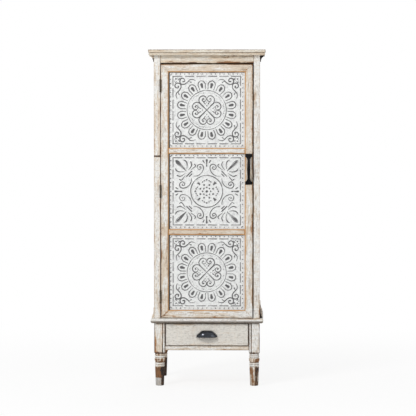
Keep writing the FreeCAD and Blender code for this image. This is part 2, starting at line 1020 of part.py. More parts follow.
def make_drawer_side():
    x = -drawer_box_half
    top = drawer_front_bottom + drawer_side_height
    side = box(x, x + drawer_side_thickness, y_drawer_back, y_drawer_end, drawer_front_bottom, top)
    return side.cut(drawer_groove())


def make_drawer_back():
    """The back stands on the bottom board, between the sides."""
    x = drawer_box_half - drawer_side_thickness
    z = drawer_front_bottom + drawer_bottom_height + drawer_bottom_thickness
    top = drawer_front_bottom + drawer_side_height
    return box(-x, x, y_drawer_end - drawer_side_thickness, y_drawer_end, z, top)


# Cup pull


def cup_screw_places():
    return [-cup_screw_spacing / 2, cup_screw_spacing / 2]


def cup_bottom():
    return (drawer_front_bottom + drawer_front_top) / 2 - cup_drop


def cup_screw_z():
    return cup_bottom() + cup_screw_height


def cup_form(inset):
    """The hood as one solid: its front, side and top views cut from each other."""
    half = cup_width / 2 - inset
    top_half = cup_top_width / 2 - inset / 2
    height = cup_height - inset
    depth = cup_depth - inset
    foot = -inset
    front = [
        point(-half, 0, foot),
        point(half, 0, foot),
        point(half, 0, cup_corner_height),
        point(top_half, 0, height),
        point(-top_half, 0, height),
        point(-half, 0, cup_corner_height),
    ]
    side = [point(0, 0, foot), point(0, -depth, foot)]
    bow = []
    for k in range(cup_round_steps + 1):
        turn = math.pi / 2 * k / cup_round_steps
        side.append(point(0, -depth * math.cos(turn), height * math.sin(turn)))
    for k in range(2 * cup_round_steps + 1):
        turn = math.pi / 2 * k / cup_round_steps
        bow.append(point(half * math.cos(turn), -depth * math.sin(turn), foot))
    across = point(cup_width, 0, 0)
    side_form = polygon(side).extrude(across)
    side_form.translate(across * -0.5)
    form = polygon(front).extrude(point(0, -cup_depth, 0))
    return form.common(side_form).common(polygon(bow).extrude(point(0, 0, height - foot)))


def make_cup_pull():
    """A hollow hood, open below and behind, with two screw bosses inside."""
    outer = cup_form(0)
    pull = outer.cut(cup_form(cup_wall))
    for x in cup_screw_places():
        boss = peg(cup_boss_radius, x, -cup_depth, 0, cup_screw_height)
        pull = pull.fuse(boss.common(outer))
    for x in cup_screw_places():
        pull = pull.cut(peg(screw_radius, x, -screw_grip, 0, cup_screw_height))
    pull = pull.removeSplitter()
    pull.translate(point(0, y_drawer_front, cup_bottom()))
    return pull


def make_cup_screws():
    screws = [
        machine_screw(x, cup_screw_z(), y_drawer_front, drawer_front_thickness, screw_grip)
        for x in cup_screw_places()
    ]
    return Part.makeCompound(screws)


# All pieces


def make_nodes():
    left_bead = make_left_bead()
    left_crown = make_left_crown()
    left_base_moulding = make_left_base_moulding()
    left_side = make_left_side_panel()
    left_apron = make_left_apron()
    left_runner = make_left_runner()
    drawer_side = make_drawer_side()
    leg_x = half_width - leg_size / 2
    leg_front_y = y_front + leg_size / 2
    leg_back_y = y_back - leg_size / 2
    nodes = {
        "top_board": make_top_board(),
        "crown_bead_front": make_front_bead(),
        "crown_bead_left": left_bead,
        "crown_bead_right": mirrored(left_bead),
        "crown_moulding_left": left_crown,
        "crown_moulding_right": mirrored(left_crown),
        "face_stile_left": make_frame_stile_left(),
        "face_stile_right": make_frame_stile_right(),
        "face_rail_top": make_frame_rail(),
        "side_panel_left": left_side,
        "side_panel_right": mirrored(left_side),
        "back_panel": make_back_panel(),
        "shelf_lower": make_shelf(shelf_lower_z),
        "shelf_upper": make_shelf(shelf_upper_z),
        "base_board": make_base_board(),
        "base_moulding_left": left_base_moulding,
        "base_moulding_right": mirrored(left_base_moulding),
        "leg_front_left": make_leg(-leg_x, leg_front_y),
        "leg_front_right": make_leg(leg_x, leg_front_y),
        "leg_back_left": make_leg(-leg_x, leg_back_y),
        "leg_back_right": make_leg(leg_x, leg_back_y),
        "side_apron_left": left_apron,
        "side_apron_right": mirrored(left_apron),
        "back_apron": make_back_apron(),
        "drawer_rail": make_drawer_rail(),
        "drawer_runner_left": left_runner,
        "drawer_runner_right": mirrored(left_runner),
        "magnetic_catch": make_catch(),
        "hinge_pins": make_hinge_pins(),
        "door_stile_left": make_door_stile_left(),
        "door_stile_right": make_door_stile_right(),
        "door_rail_top": make_door_rail_top(),
        "door_rail_bottom": make_door_rail_bottom(),
        "door_rail_lower_middle": make_door_middle_rail(opening_bottoms[1] - door_middle_rail),
        "door_rail_upper_middle": make_door_middle_rail(opening_bottoms[2] - door_middle_rail),
        "door_pull": make_door_pull(),
        "door_pull_screws": make_door_pull_screws(),
        "catch_plate": make_catch_plate(),
        "drawer_front": make_drawer_front(),
        "drawer_side_left": drawer_side,
        "drawer_side_right": mirrored(drawer_side),
        "drawer_back": make_drawer_back(),
        "drawer_bottom": drawer_groove(),
        "cup_pull": make_cup_pull(),
        "cup_pull_screws": make_cup_screws(),
    }
    for place, bottom in hinge_bottoms.items():
        nodes[f"hinge_leaf_cabinet_{place}"] = make_hinge_leaf(bottom, -1)
        nodes[f"hinge_leaf_door_{place}"] = make_hinge_leaf(bottom, 1)
    for place, bottom in zip(panel_names, opening_bottoms):
        ornament = medallion_pads if place == "middle" else rosette_pads
        nodes[f"metal_panel_{place}"] = make_panel(bottom, ornament)
        nodes[f"panel_backing_{place}"] = make_backing(bottom)
    return nodes


os.makedirs("parts", exist_ok=True)
nodes = make_nodes()
for name, shape in nodes.items():
    shape.exportStep(f"parts/{name}.step")
    solids = len(shape.Solids)
    print(f"{name}: {solids} solid(s), volume {shape.Volume / 1000:.1f} cm3, valid {shape.isValid()}")
print(len(nodes), "nodes")
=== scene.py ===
# %% [markdown]
# # A painted accent cabinet with pressed metal door panels
#
# The cabinet is tall and narrow. It stands on four turned legs, has one inset
# door with three embossed metal panels, and a small drawer under it. The
# measured model is loaded first and stays as it is. Each cell below dresses a
# few of its pieces: it reads a piece's place from the model, shapes the piece
# again with softer edges, and gives it a finish. That order keeps the looks
# tied to the real sizes.

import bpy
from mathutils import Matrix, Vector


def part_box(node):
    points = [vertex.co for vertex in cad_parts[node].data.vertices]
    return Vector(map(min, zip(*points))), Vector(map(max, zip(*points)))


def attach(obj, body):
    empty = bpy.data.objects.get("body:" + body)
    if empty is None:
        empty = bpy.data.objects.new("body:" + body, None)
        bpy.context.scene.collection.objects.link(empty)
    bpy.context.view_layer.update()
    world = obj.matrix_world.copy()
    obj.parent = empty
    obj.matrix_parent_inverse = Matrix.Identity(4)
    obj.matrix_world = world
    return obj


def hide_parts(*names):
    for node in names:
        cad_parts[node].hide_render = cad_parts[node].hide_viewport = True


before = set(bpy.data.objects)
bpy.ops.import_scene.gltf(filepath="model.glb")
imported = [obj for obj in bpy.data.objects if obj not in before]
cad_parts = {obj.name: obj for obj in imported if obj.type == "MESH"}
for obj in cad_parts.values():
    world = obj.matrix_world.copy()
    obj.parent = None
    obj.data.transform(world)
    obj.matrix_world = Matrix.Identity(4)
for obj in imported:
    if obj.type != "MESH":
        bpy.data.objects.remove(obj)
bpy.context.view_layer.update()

import math
import random

import bmesh
import bpy
import numpy as np
from mathutils import Matrix, Vector

MM = 0.001


def corners(node):
    """The lowest and the highest corner of a piece of the measured model."""
    return [Vector(corner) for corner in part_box(node)]


# %% [markdown]
# ## The camera
#
# The photograph was taken from far away with a long lens, a little to the right
# of the middle and a little above it: the top board's underside just shows, and
# the upright edges stay parallel. A long lens far away gives the same flat
# look. A short lens close by would spread the legs and tilt the sides.

# %% Camera
def link(name, data):
    """Put a camera, a lamp or a mesh in the scene."""
    made = bpy.data.objects.new(name, data)
    bpy.context.scene.collection.objects.link(made)
    return made


def aimed(name, data, place, target):
    """Put a camera or a lamp at a place, facing a point of the cabinet."""
    made = link(name, data)
    made.location = place
    made.rotation_euler = (Vector(target) - made.location).to_track_quat("-Z", "Y").to_euler()
    return made


camera_data = bpy.data.cameras.new("studio_camera")
camera_data.lens = 210.35
camera_data.sensor_width = 36.0
camera = aimed("studio_camera", camera_data, (0.19, -9.5, 1.27), (0.0042, -0.152, 0.6904))
bpy.context.scene.camera = camera
print("camera", tuple(round(value, 3) for value in camera.location))

# %% [markdown]
# ## Light and floor
#
# A product photograph on white has one large soft lamp in front, above and to
# the left, and white walls that fill the shadows. Three area lamps and a pale
# world do the same. The world looks pure white to the camera and in shiny
# things, but lights the cabinet with less, so that the white paint doesn't
# wash out. The floor is a pale plane that keeps the soft shadow of the legs.

# %% Lamps
LAMPS = {  # place, target, size, power
    "key_lamp": ((-2.2, -3.4, 3.4), (0, 0, 0.7), 1.2, 125),
    "fill_lamp": ((3.0, -3.2, 1.6), (0, 0, 0.6), 2.4, 20),
    "back_lamp": ((0.5, 3.2, 3.2), (0, 0, 0.8), 2.0, 40),
}
for name, (place, target, size, power) in LAMPS.items():
    lamp = bpy.data.lights.new(name, "AREA")
    lamp.shape = "SQUARE"
    lamp.size = size
    lamp.energy = power
    aimed(name, lamp, place, target)
bpy.context.scene.view_settings.view_transform = "Standard"
print("lamps:", list(LAMPS))

# %% [markdown]
# ## Sums that write shader nodes
#
# Worn paint is a sum of many small patterns: grain, scratches, rubbed edges and
# dirt. In the node editor that is a large web of Math nodes. Here one small
# class wraps a socket and overloads plus, minus and times, so a finish reads
# like arithmetic: `wear = edge * 0.8 + grain * 0.4`. A second class holds the
# web and has one call for any other node, and a third holds one material.

# %% A value that changes over a surface
def sum_method(operation, turned=False):
    """A method that adds one Math node for its value and another."""

    def method(self, other):
        pair = (other, self) if turned else (self, other)
        return self.nodes.maths(operation, *pair)

    return method


class Amount:
    """A number socket of a web of nodes, usable in plain sums."""

    def __init__(self, nodes, socket):
        self.nodes = nodes
        self.socket = socket

    __add__ = __radd__ = sum_method("ADD")
    __mul__ = __rmul__ = sum_method("MULTIPLY")
    __sub__ = sum_method("SUBTRACT")
    __rsub__ = sum_method("SUBTRACT", turned=True)
    larger = sum_method("MAXIMUM")
    smaller = sum_method("MINIMUM")

    def unsigned(self):
        return self.nodes.maths("ABSOLUTE", self)

    def step(self, low, high):
        """0 below low, 1 above high and a soft rise between them."""
        settings = {"interpolation_type": "SMOOTHSTEP"}
        sockets = {"Value": self, "From Min": low, "From Max": high}
        return self.nodes.amount("Result", "ShaderNodeMapRange", settings, sockets)

    def fall(self, low, high):
        """1 below low, 0 above high and a soft fall between them."""
        return 1.0 - self.step(low, high)

    def band(self, low, full, last, high):
        """1 between full and last, 0 below low and above high."""
        return self.step(low, full) * self.fall(last, high)


# %% A web of nodes
class Nodes:
    def __init__(self, tree):
        self.tree = tree

    def node(self, kind, settings=None, sockets=None):
        """Any node: its settings first, then the values or links of its sockets."""
        made = self.tree.nodes.new(kind)
        for key, value in (settings or {}).items():
            setattr(made, key, value)
        for key, value in (sockets or {}).items():
            self.connect(made.inputs[key], value)
        return made

    def amount(self, output, kind, settings=None, sockets=None):
        """Any node, but gives back one of its outputs for use in sums."""
        return Amount(self, self.node(kind, settings, sockets).outputs[output])

    def connect(self, socket, value):
        if isinstance(value, Amount):
            value = value.socket
        if isinstance(value, bpy.types.NodeSocket):
            self.tree.links.new(value, socket)
        else:
            socket.default_value = value

    def maths(self, operation, *values):
        return self.amount(0, "ShaderNodeMath", {"operation": operation}, dict(enumerate(values)))


# %% A material
class Finish(Nodes):
    """One material, built around a Principled shader."""

    def __init__(self, name, **constants):
        self.material = bpy.data.materials.new(name)
        self.material.use_nodes = True
        super().__init__(self.material.node_tree)
        self.shader = self.tree.nodes["Principled BSDF"]
        for socket, value in constants.items():
            self.feed(socket.replace("_", " "), value)

    def feed(self, socket, value):
        self.connect(self.shader.inputs[socket], value)

    def where(self):
        return self.node("ShaderNodeTexCoord").outputs["Object"]

    def place(self, stretch=(1, 1, 1)):
        """Object coordinates, stretched to run a pattern along the grain."""
        sockets = {"Vector": self.where(), "Scale": stretch}
        return self.node("ShaderNodeMapping", None, sockets).outputs["Vector"]

    def noise(self, place, scale, detail=3.0, roughness=0.55, seed=0.0):
        """Soft random patches between 0 and 1. The seed moves the pattern."""
        sockets = {"Vector": place, "W": seed, "Scale": scale, "Detail": detail, "Roughness": roughness}
        return self.amount(0, "ShaderNodeTexNoise", {"noise_dimensions": "4D"}, sockets)

    def attribute(self, name):
        """A number that was stored on the piece's points."""
        settings = {"attribute_type": "GEOMETRY", "attribute_name": name}
        return self.amount("Fac", "ShaderNodeAttribute", settings)

    def axis(self, name):
        """How far along X, Y or Z a place lies, in metres."""
        return self.amount(name, "ShaderNodeSeparateXYZ", None, {0: self.where()})

    def mix(self, share, first, second):
        """A colour between two others."""
        sockets = {0: share, 6: first, 7: second}
        return self.node("ShaderNodeMix", {"data_type": "RGBA"}, sockets).outputs[2]

    def colours(self, amount, *stops):
        """A ramp of colours, each stop a position and a colour."""
        made = self.node("ShaderNodeValToRGB", None, {"Fac": amount})
        ramp = made.color_ramp
        while len(ramp.elements) < len(stops):
            ramp.elements.new(1.0)
        for element, (position, colour) in zip(ramp.elements, stops):
            element.position = position
            element.color = colour
        return made.outputs["Color"]

    def bump(self, height, depth):
        """Surface relief from a height between 0 and 1, depth in metres."""
        sockets = {"Height": height, "Distance": depth, "Strength": 1.0}
        self.feed("Normal", self.node("ShaderNodeBump", None, sockets).outputs["Normal"])


def rgb(*levels):
    """A colour as it looks on screen, 0 to 255, turned into linear light."""
    shares = [level / 255 for level in levels]
    return (*[((c + 0.055) / 1.055) ** 2.4 if c > 0.04 else c / 12.92 for c in shares], 1.0)


print("a pale paint colour in linear light:", [round(c, 3) for c in rgb(236, 234, 228)])

# %% [markdown]
# ## Floor and backdrop
#
# The floor takes the shadow. It is nearly white, so the picture's ground stays
# pale, and the world shows white to the camera through Light Path's camera ray
# without lighting the cabinet any brighter. Far from the cabinet the floor glows
# for the camera too, so that no line shows where the floor ends.

# %% Floor
WHITE = (1, 1, 1, 1)
GLOW_NEAR = 0.86

floor_finish = Finish("studio_floor", Base_Color=rgb(250, 250, 250), Roughness=0.9)
floor_mesh = bmesh.new()
bmesh.ops.create_grid(floor_mesh, x_segments=1, y_segments=1, size=12)
floor_data = bpy.data.meshes.new("floor")
floor_mesh.to_mesh(floor_data)
floor_mesh.free()
floor_data.materials.append(floor_finish.material)
link("floor", floor_data)

length = {"operation": "LENGTH"}
away = floor_finish.amount("Value", "ShaderNodeVectorMath", length, {0: floor_finish.where()})
seen = floor_finish.amount("Is Camera Ray", "ShaderNodeLightPath")
share = seen * (away.step(0.4, 2.2) * (1 - GLOW_NEAR) + GLOW_NEAR)
glow = floor_finish.node("ShaderNodeEmission", None, {"Color": WHITE, "Strength": 1.0})
shaders = {0: share, 1: floor_finish.shader.outputs[0], 2: glow.outputs[0]}
blend = floor_finish.node("ShaderNodeMixShader", None, shaders)
floor_finish.connect(floor_finish.tree.nodes["Material Output"].inputs["Surface"], blend.outputs[0])

# %% World
SKY_LIGHT = 0.36

world = bpy.data.worlds.new("studio_world")
bpy.context.scene.world = world
world.use_nodes = True
sky = Nodes(world.node_tree)
rays = sky.node("ShaderNodeLightPath").outputs
shown = Amount(sky, rays["Is Camera Ray"]).larger(rays["Is Glossy Ray"])
background = sky.tree.nodes["Background"].inputs
sky.connect(background["Color"], WHITE)
sky.connect(background["Strength"], shown * (1 - SKY_LIGHT) + SKY_LIGHT)
print("world lights with", SKY_LIGHT, "and shows as 1.0")

# %% [markdown]
# ## Worn paint
#
# The wood is stained a warm orange-brown, painted off-white, and then rubbed
# back. Paint goes first where hands and cloths reach: along edges and corners,
# then in long scratches that follow the grain. So the finish has three parts: a
# wood colour with grain, a paint colour with thin dirty places, and a mask that
# says where the paint is gone. The mask adds up an `edge` number stored on each
# piece's points, streaks stretched along the grain and coarse patches. A second
# number, `board`, differs from piece to piece, so no two boards share a pattern.

# %% The paint recipe
PAINT = rgb(236, 235, 231)
PAINT_THIN = rgb(208, 187, 160)
PAINT_GREY = rgb(172, 169, 163)
PAINT_AGED = rgb(230, 225, 212)
STREAK = rgb(148, 128, 108)
WOOD_FRESH = rgb(222, 170, 112)
WOOD_LIGHT = rgb(198, 146, 98)
WOOD_DARK = rgb(138, 94, 62)
WOOD_OLD = rgb(84, 62, 48)
# SOOT_AND_SHADE darkens old bare wood; on the mouldings and the legs it also paints shade.
SOOT_AND_SHADE = rgb(48, 40, 36)

STRETCH = {"x": (0.13, 1, 1), "y": (1, 0.13, 1), "z": (1, 1, 0.13)}
ACROSS = {"x": "z", "y": "z", "z": "x"}
SAWN = {"x": 0.1, "y": 0.3, "z": 0.3}


def given(rule, finish):
    """What a rule gives for a finish, or the thing itself where it isn't a rule."""
    return rule(finish) if callable(rule) else rule


def worn_paint(name, along, marks=(0.0, 0.0, 0.0), tone=PAINT, dirt=0.85, scratches=1.0):
    """Distressed paint over wood, its grain along an axis.

    marks are three amounts: more bare wood, more thin paint, and how old and dark
    the bare wood is; on some parts that darkness is painted shade. tone is the
    paint's colour, on some parts with painted shade in it. Both may be rules, for
    amounts and colours that change over the piece. dirt is how much dark dirt lies
    along the edges, and scratches how strong the thin dark lines along the grain are.
    """
    finish = Finish(name, Roughness=0.6, Specular_IOR_Level=0.35)
    board = finish.attribute("board") * 7.0
    edge = finish.attribute("edge")
    more_bare, more_thin, old = given(marks, finish)
    grain_place = finish.place(STRETCH[along])
    plain_place = finish.place()
    grain = finish.noise(grain_place, 320.0, 5.0, 0.6, board)
    streaks = finish.noise(grain_place, 105.0, 6.0, 0.65, board + 3.1)
    lines = finish.noise(grain_place, 210.0, 3.0, 0.6, board + 8.2)
    brushed = finish.noise(grain_place, 520.0, 2.0, 0.5, board + 5.7)
    patches = finish.noise(plain_place, 9.0, 4.0, 0.6, board + 1.3)
    specks = finish.noise(plain_place, 150.0, 4.0, 0.75, board + 9.9)
    saw_marks = finish.noise(finish.place(STRETCH[ACROSS[along]]), 125.0, 2.0, 0.6, board + 4.6)

    rubbed = streaks * 0.62 + patches * 0.34 + specks * 0.18
    bare = (rubbed + edge * 0.085 + more_bare).step(0.685, 0.75)
    thin = (rubbed + edge * 0.06 + more_bare + more_thin).step(0.555, 0.67)
    opening = (edge + streaks * 1.6 - 0.8).step(1.8, 2.4)
    seam = edge.band(0.72, 1.0, 1.05, 1.4) * (streaks + specks * 0.5).step(0.45, 0.85)
    scratched = lines.step(0.54, 0.66) * (patches.step(0.40, 0.62) * 0.55 + 0.2) * scratches

    stain = grain * 0.65 + patches * 0.35
    wood = finish.colours(stain, (0.30, WOOD_OLD), (0.44, WOOD_DARK), (0.62, WOOD_LIGHT))
    wood = finish.mix(opening * 0.8, wood, WOOD_FRESH)
    wood = finish.mix(old * (grain.step(0.42, 0.60) * 0.75 + 0.15), wood, SOOT_AND_SHADE)
    paint = finish.mix(brushed.step(0.48, 0.70) * 0.6, given(tone, finish), PAINT_GREY)
    paint = finish.mix(specks.step(0.52, 0.66) * 0.6, paint, PAINT_GREY)
    paint = finish.mix(saw_marks.step(0.50, 0.64) * SAWN[along], paint, PAINT_THIN)
    paint = finish.mix(thin * 0.7, paint, PAINT_THIN)
    paint = finish.mix(scratched, paint, STREAK)
    painted = finish.mix(bare, paint, wood)
    finish.feed("Base Color", finish.mix(seam * dirt, painted, WOOD_OLD))
    finish.feed("Roughness", 0.58 + bare * 0.16 + brushed * 0.1)
    finish.bump(brushed * 0.4 + grain * bare * 0.5 - bare * 0.8, 0.6 * MM)
    return finish


# %% [markdown]
# ## Where each part is worn
#
# Each part of the cabinet is worn in its own places. A rule reads the height and
# the place across, in metres, and gives the three amounts of the recipe for
# every point. Some rules also paint shade: a darker band under the bead, the
# nose's darker lower half, the darker right-hand side mouldings and nearly black
# moulding ends, and the nearly black inner half of the left legs' tapers.
# Such marks could be painted by hand on a picture, but a picture has one fixed
# sharpness and would have to be stored with the part.

# %% Frieze and stiles
def frieze_marks(finish):
    """Dark streaks along the lower edge, and a darker band under the bead that is partly worn streaks and
    partly painted shade below the bead; both stronger at the right.
    """
    height, right = finish.axis("Z"), finish.axis("X").step(-0.06, 0.10)
    # high is the band under the bead; its darkening is partly painted shade below the bead.
    low, high = height.fall(1.249, 1.260), height.step(1.264, 1.275)
    bare = low * (right * 0.10 + 0.07) + high * (right * 0.06 + 0.03)
    return bare, 0.03, low * 0.9 + high * 2.0


def stile_marks(finish):
    """A short dark scratch runs across the left stile, two thirds of the way up."""
    height, across = finish.axis("Z"), finish.axis("X")
    scratch = height.band(0.8865, 0.8880, 0.8920, 0.8935) * across.fall(-0.183, -0.180)
    right = across.step(-0.1, 0.1)
    upper = height.step(0.80, 1.05) * (1.0 - right)
    return scratch * 0.6 + upper * 0.01 - right * 0.015, upper * 0.015 - right * 0.01, scratch * 4.0


# %% Door, rail and base board
door_left, _, door_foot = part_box("door_stile_left")[0]
door_right, _, door_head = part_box("door_stile_right")[1]


def door_marks(finish):
    """Thin paint here and there, rubbed outer edges, and paint left in the mitres."""
    across, height = finish.axis("X"), finish.axis("Z")
    inward = (across - door_left).smaller(door_right - across)
    upward = (height - door_foot).smaller(door_head - height)
    outer = inward.fall(2 * MM, 5 * MM).larger((height - door_foot).fall(2 * MM, 5 * MM))
    mitre = (inward - upward).unsigned().fall(0.8 * MM, 2.4 * MM)
    mitre = mitre * inward.band(3 * MM, 5 * MM, 25 * MM, 28 * MM)
    right = across.step(0.13, 0.15) * height.step(0.60, 0.85)
    left = across.fall(-0.155, -0.14) * height.fall(0.45, 0.68)
    middle = height.band(0.580, 0.590, 0.612, 0.625)
    top = height.step(1.208, 1.216)
    bare = (right + top + outer) * 0.02 + left * 0.035 + middle * 0.05
    bare = bare - mitre * (height.step(0.5, 0.9) * 0.15 + 0.10)
    return bare, right * 0.035 + left * 0.03 + middle * 0.05 + top * 0.055, left * 0.5 + 0.2


def rail_marks(finish):
    low = finish.axis("Z").fall(0.143, 0.152)
    return low * 0.03, 0.02, low * 0.3


def nose_marks(finish):
    """The round nose is well painted, with a rubbed line along its top's right half."""
    upper = finish.axis("Z").step(0.2570, 0.2605) * finish.axis("Y").fall(-0.154, -0.150)
    line = upper * finish.axis("X").step(0.02, 0.16)
    return line * 0.12 - 0.04, line * 0.1 - 0.06, 0.2


def nose_tone_and_shade(finish):
    """Painted shade: the nose's lower half is painted darker, for the shade under the round nose."""
    return finish.mix(finish.axis("Z").step(0.2500, 0.2570), rgb(104, 95, 86), PAINT)


# %% Side mouldings
moulding_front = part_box("crown_moulding_left")[0][1]


def moulding_shade_marks(finish):
    """All side mouldings are a little more worn. The right-hand ones are painted darker, and the sawn front
    ends of these and of both crown mouldings nearly black: painted shade, for the shadow that falls on these
    set-back ends.
    """
    right, height = finish.axis("X").step(-0.1, 0.1), finish.axis("Z")
    tip = height.band(1.0, 1.1, 1.261, 1.268)
    end = finish.axis("Y").fall(moulding_front + 0.4 * MM, moulding_front + 1.2 * MM)
    end = end * right.larger(tip)
    return right * 0.07 + 0.03 + end * 0.5, right * 0.09 + 0.04, right * 0.8 + 0.3 + end * 4.0


# %% Legs
def leg_marks(finish):
    """Bare below the rings, flaked on the bulb, with a thin dark line down each square block. The inner half
    of the left legs' tapers is painted nearly black as painted shade.
    """
    height, across = finish.axis("Z"), finish.axis("X").unsigned()
    right = finish.axis("X").step(-0.02, 0.02)
    left = 1.0 - right
    taper, foot = height.fall(0.071, 0.076), height.fall(0.027, 0.033)
    bulb = height.band(0.088, 0.092, 0.104, 0.108)
    first_ring = height.band(0.116, 0.118, 0.1245, 0.1260) * left
    rings = height.band(0.072, 0.075, 0.122, 0.126) * left
    block = height.step(0.122, 0.132)
    front = across.band(0.1621, 0.1626, 0.2034, 0.2039) * block
    corner = height.fall(0.165, 0.215) * left * 1.2 + right * 0.3 - 0.2
    outer = across.step(0.187, 0.199) * front * corner
    inner = across.band(0.1690, 0.1702, 0.1722, 0.1745) * front
    clean = across.fall(0.1670, 0.1690) * front
    # The inner half of the left legs' tapers is painted nearly black: painted shade.
    shaded = left * across.fall(0.174, 0.182)
    rim_side = right * across.step(0.184, 0.192)
    streaks = right * (height.step(0.028, 0.060) * 0.07 - 0.14)
    bare = taper * (shaded * 0.06 + 0.22 + streaks + rim_side * 0.07)
    bare = bare - foot * left * (1.0 - shaded) * 0.42
    bare = bare + bulb * (left * 0.06 + rim_side * 0.12 + 0.10) + first_ring * 0.12 + rings * 0.02
    bare = bare + block * (left * 0.02 + 0.01) + outer * 0.12 - clean * 0.12
    bare = bare + inner * (right * 0.08 + 0.20)
    thin = rings * 0.02 + block * left * 0.05 - 0.03 - taper * 0.03
    old = taper * (shaded * 3.5 + rim_side * 1.2 + 0.9) + inner * 2.4 + bulb * 0.8 + first_ring * 0.6
    return bare, thin, old


def leg_tone(finish):
    """The paint left on the legs is greyer towards the floor."""
    return finish.mix(finish.axis("Z").step(0.03, 0.07), rgb(182, 180, 177), PAINT)


# %% All paints
paint_finishes = {axis: worn_paint(f"worn_paint_{axis}", axis) for axis in "xyz"}
door_finishes = {axis: worn_paint(f"worn_door_paint_{axis}", axis, door_marks) for axis in "xz"}
frieze_paint_and_shade = worn_paint("worn_frieze_paint", "x", frieze_marks, rgb(222, 216, 204))
stile_paint = worn_paint("worn_stile_paint", "z", stile_marks, dirt=0.35)
top_paint = worn_paint("worn_top_paint", "x", (0.0, 0.03, 0.3), PAINT_AGED)
rail_paint = worn_paint("worn_rail_paint", "x", rail_marks)
moulding_paint_and_shade = worn_paint("worn_moulding_paint", "y", moulding_shade_marks)
nose_paint_and_shade = worn_paint("worn_nose_paint", "x", nose_marks, nose_tone_and_shade)
drawer_marks = (-0.03, -0.01, 0.0)  # the drawer's front is the best kept board
drawer_tone = rgb(226, 222, 214)
drawer_paint = worn_paint("worn_drawer_paint", "x", drawer_marks, drawer_tone, scratches=0.45)
worn_leg_paint_and_shade = worn_paint("worn_leg_paint_and_shade", "z", leg_marks, leg_tone)
print("paint finishes:", [f.material.name for f in paint_finishes.values()])

# %% [markdown]
# ## Plain wood and thin board
#
# The drawer's sides and the runners are plain wood, and the back, the drawer
# bottom and the boards behind the metal are thin plywood. Neither is painted.
# A long stretched noise gives the grain, a second one the slow change of tone.

# %% Unpainted wood
def bare_wood(name, along, light, dark):
    finish = Finish(name, Roughness=0.62)
    board = finish.attribute("board") * 5.0
    grain_place = finish.place(STRETCH[along])
    grain = finish.noise(grain_place, 260.0, 5.0, 0.6, board)
    tone = finish.noise(grain_place, 30.0, 2.0, 0.5, board + 2.0)
    finish.feed("Base Color", finish.colours(grain * 0.6 + tone * 0.4, (0.32, dark), (0.66, light)))
    finish.feed("Roughness", 0.5 + grain * 0.25)
    finish.bump(grain, 0.3 * MM)
    return finish


drawer_wood = bare_wood("drawer_wood", "y", rgb(205, 166, 118), rgb(160, 116, 74))
back_board = bare_wood("back_board", "z", rgb(206, 176, 136), rgb(170, 134, 92))
drawer_board = bare_wood("drawer_board", "x", rgb(206, 176, 136), rgb(170, 134, 92))
print("bare woods:", [f.material.name for f in (drawer_wood, back_board, drawer_board)])

# %% [markdown]
# ## Metals
#
# The door pull is cast iron, nearly black and half matt. The drawer's cup pull
# is a little bluer and shinier, under a thin clear coat. The hinges are dark
# aged steel. Cast and aged metal is never even: a fine noise lifts and lowers
# the roughness, and a small bump gives the cast skin.

# %% Dark metals
def dark_metal(name, base, worn, roughness, cast=0.25 * MM, metallic=0.8, **constants):
    finish = Finish(name, Metallic=metallic, Roughness=roughness, **constants)
    place = finish.place()
    skin = finish.noise(place, 380.0, 4.0, 0.6)
    cloud = finish.noise(place, 60.0, 3.0, 0.5, 4.0)
    finish.feed("Base Color", finish.mix(cloud.step(0.45, 0.75) * 0.6, base, worn))
    finish.feed("Roughness", roughness + skin * 0.18 + cloud * 0.1 - 0.12)
    finish.bump(skin, cast)
    return finish


black_iron = dark_metal("black_iron", rgb(10, 10, 12), rgb(26, 26, 30), 0.46)
dark_iron = dark_metal(
    "dark_iron", rgb(40, 43, 50), rgb(66, 72, 82), 0.1, cast=0.01 * MM, Coat_Weight=0.4, Coat_Roughness=0.1
)
aged_steel = dark_metal("aged_steel", rgb(74, 64, 54), rgb(128, 104, 80), 0.45)
plain_steel = dark_metal("plain_steel", rgb(168, 168, 170), rgb(196, 196, 198), 0.32)
catch_plastic = dark_metal("catch_plastic", rgb(104, 72, 46), rgb(120, 86, 58), 0.5, metallic=0.0)
print("metals:", [f.material.name for f in (black_iron, dark_iron, aged_steel, plain_steel)])

# %% [markdown]
# ## Boards
#
# Nearly every wooden piece is a board. A board starts as a cube that is
# stretched between the two corners of its piece in the measured model. A bevel
# rounds its edges, and insets draw two more lines inside each face. Points on
# the outer lines store `edge` = 1 and those on the innermost store 0, and
# Blender blends the number between them, which is just what the worn paint
# needs. Modelling that rim costs a few faces and needs no picture of the edges.

# %% Making and finishing a piece
random.seed(41)


def start_piece():
    """An empty mesh that can store the edge number."""
    shape = bmesh.new()
    shape.verts.layers.float.new("edge")
    return shape


def store_edge(shape, rule):
    """Store what a rule gives for each point and the number it has."""
    layer = shape.verts.layers.float["edge"]
    for point in shape.verts:
        point[layer] = rule(point, point[layer])


def finish_piece(node, shape, finish, body="carcass", sharp=40, prefix="dressed"):
    """Turn a shape into an object that rides on a body and stands for a node."""
    name = f"{prefix}_{node}"
    bmesh.ops.recalc_face_normals(shape, faces=shape.faces[:])
    mesh = bpy.data.meshes.new(name)
    shape.to_mesh(mesh)
    shape.free()
    mesh.shade_smooth()
    mesh.set_sharp_from_angle(angle=math.radians(sharp))
    board = mesh.attributes.new("board", "FLOAT", "POINT")
    board.data.foreach_set("value", [random.random()] * len(mesh.vertices))
    mesh.materials.append(finish.material)
    piece = link(name, mesh)
    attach(piece, body)
    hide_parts(node)
    return piece


def block(shape, low, high):
    """A box between two corners. Gives back its points."""
    low, high = Vector(low), Vector(high)
    made = bmesh.ops.create_cube(shape, size=1.0)["verts"]
    bmesh.ops.scale(shape, vec=high - low, verts=made)
    bmesh.ops.translate(shape, vec=(low + high) / 2, verts=made)
    return made


def fresh_points(shape, before):
    """The points of a shape that weren't there before."""
    return [point for point in shape.verts if point not in before]


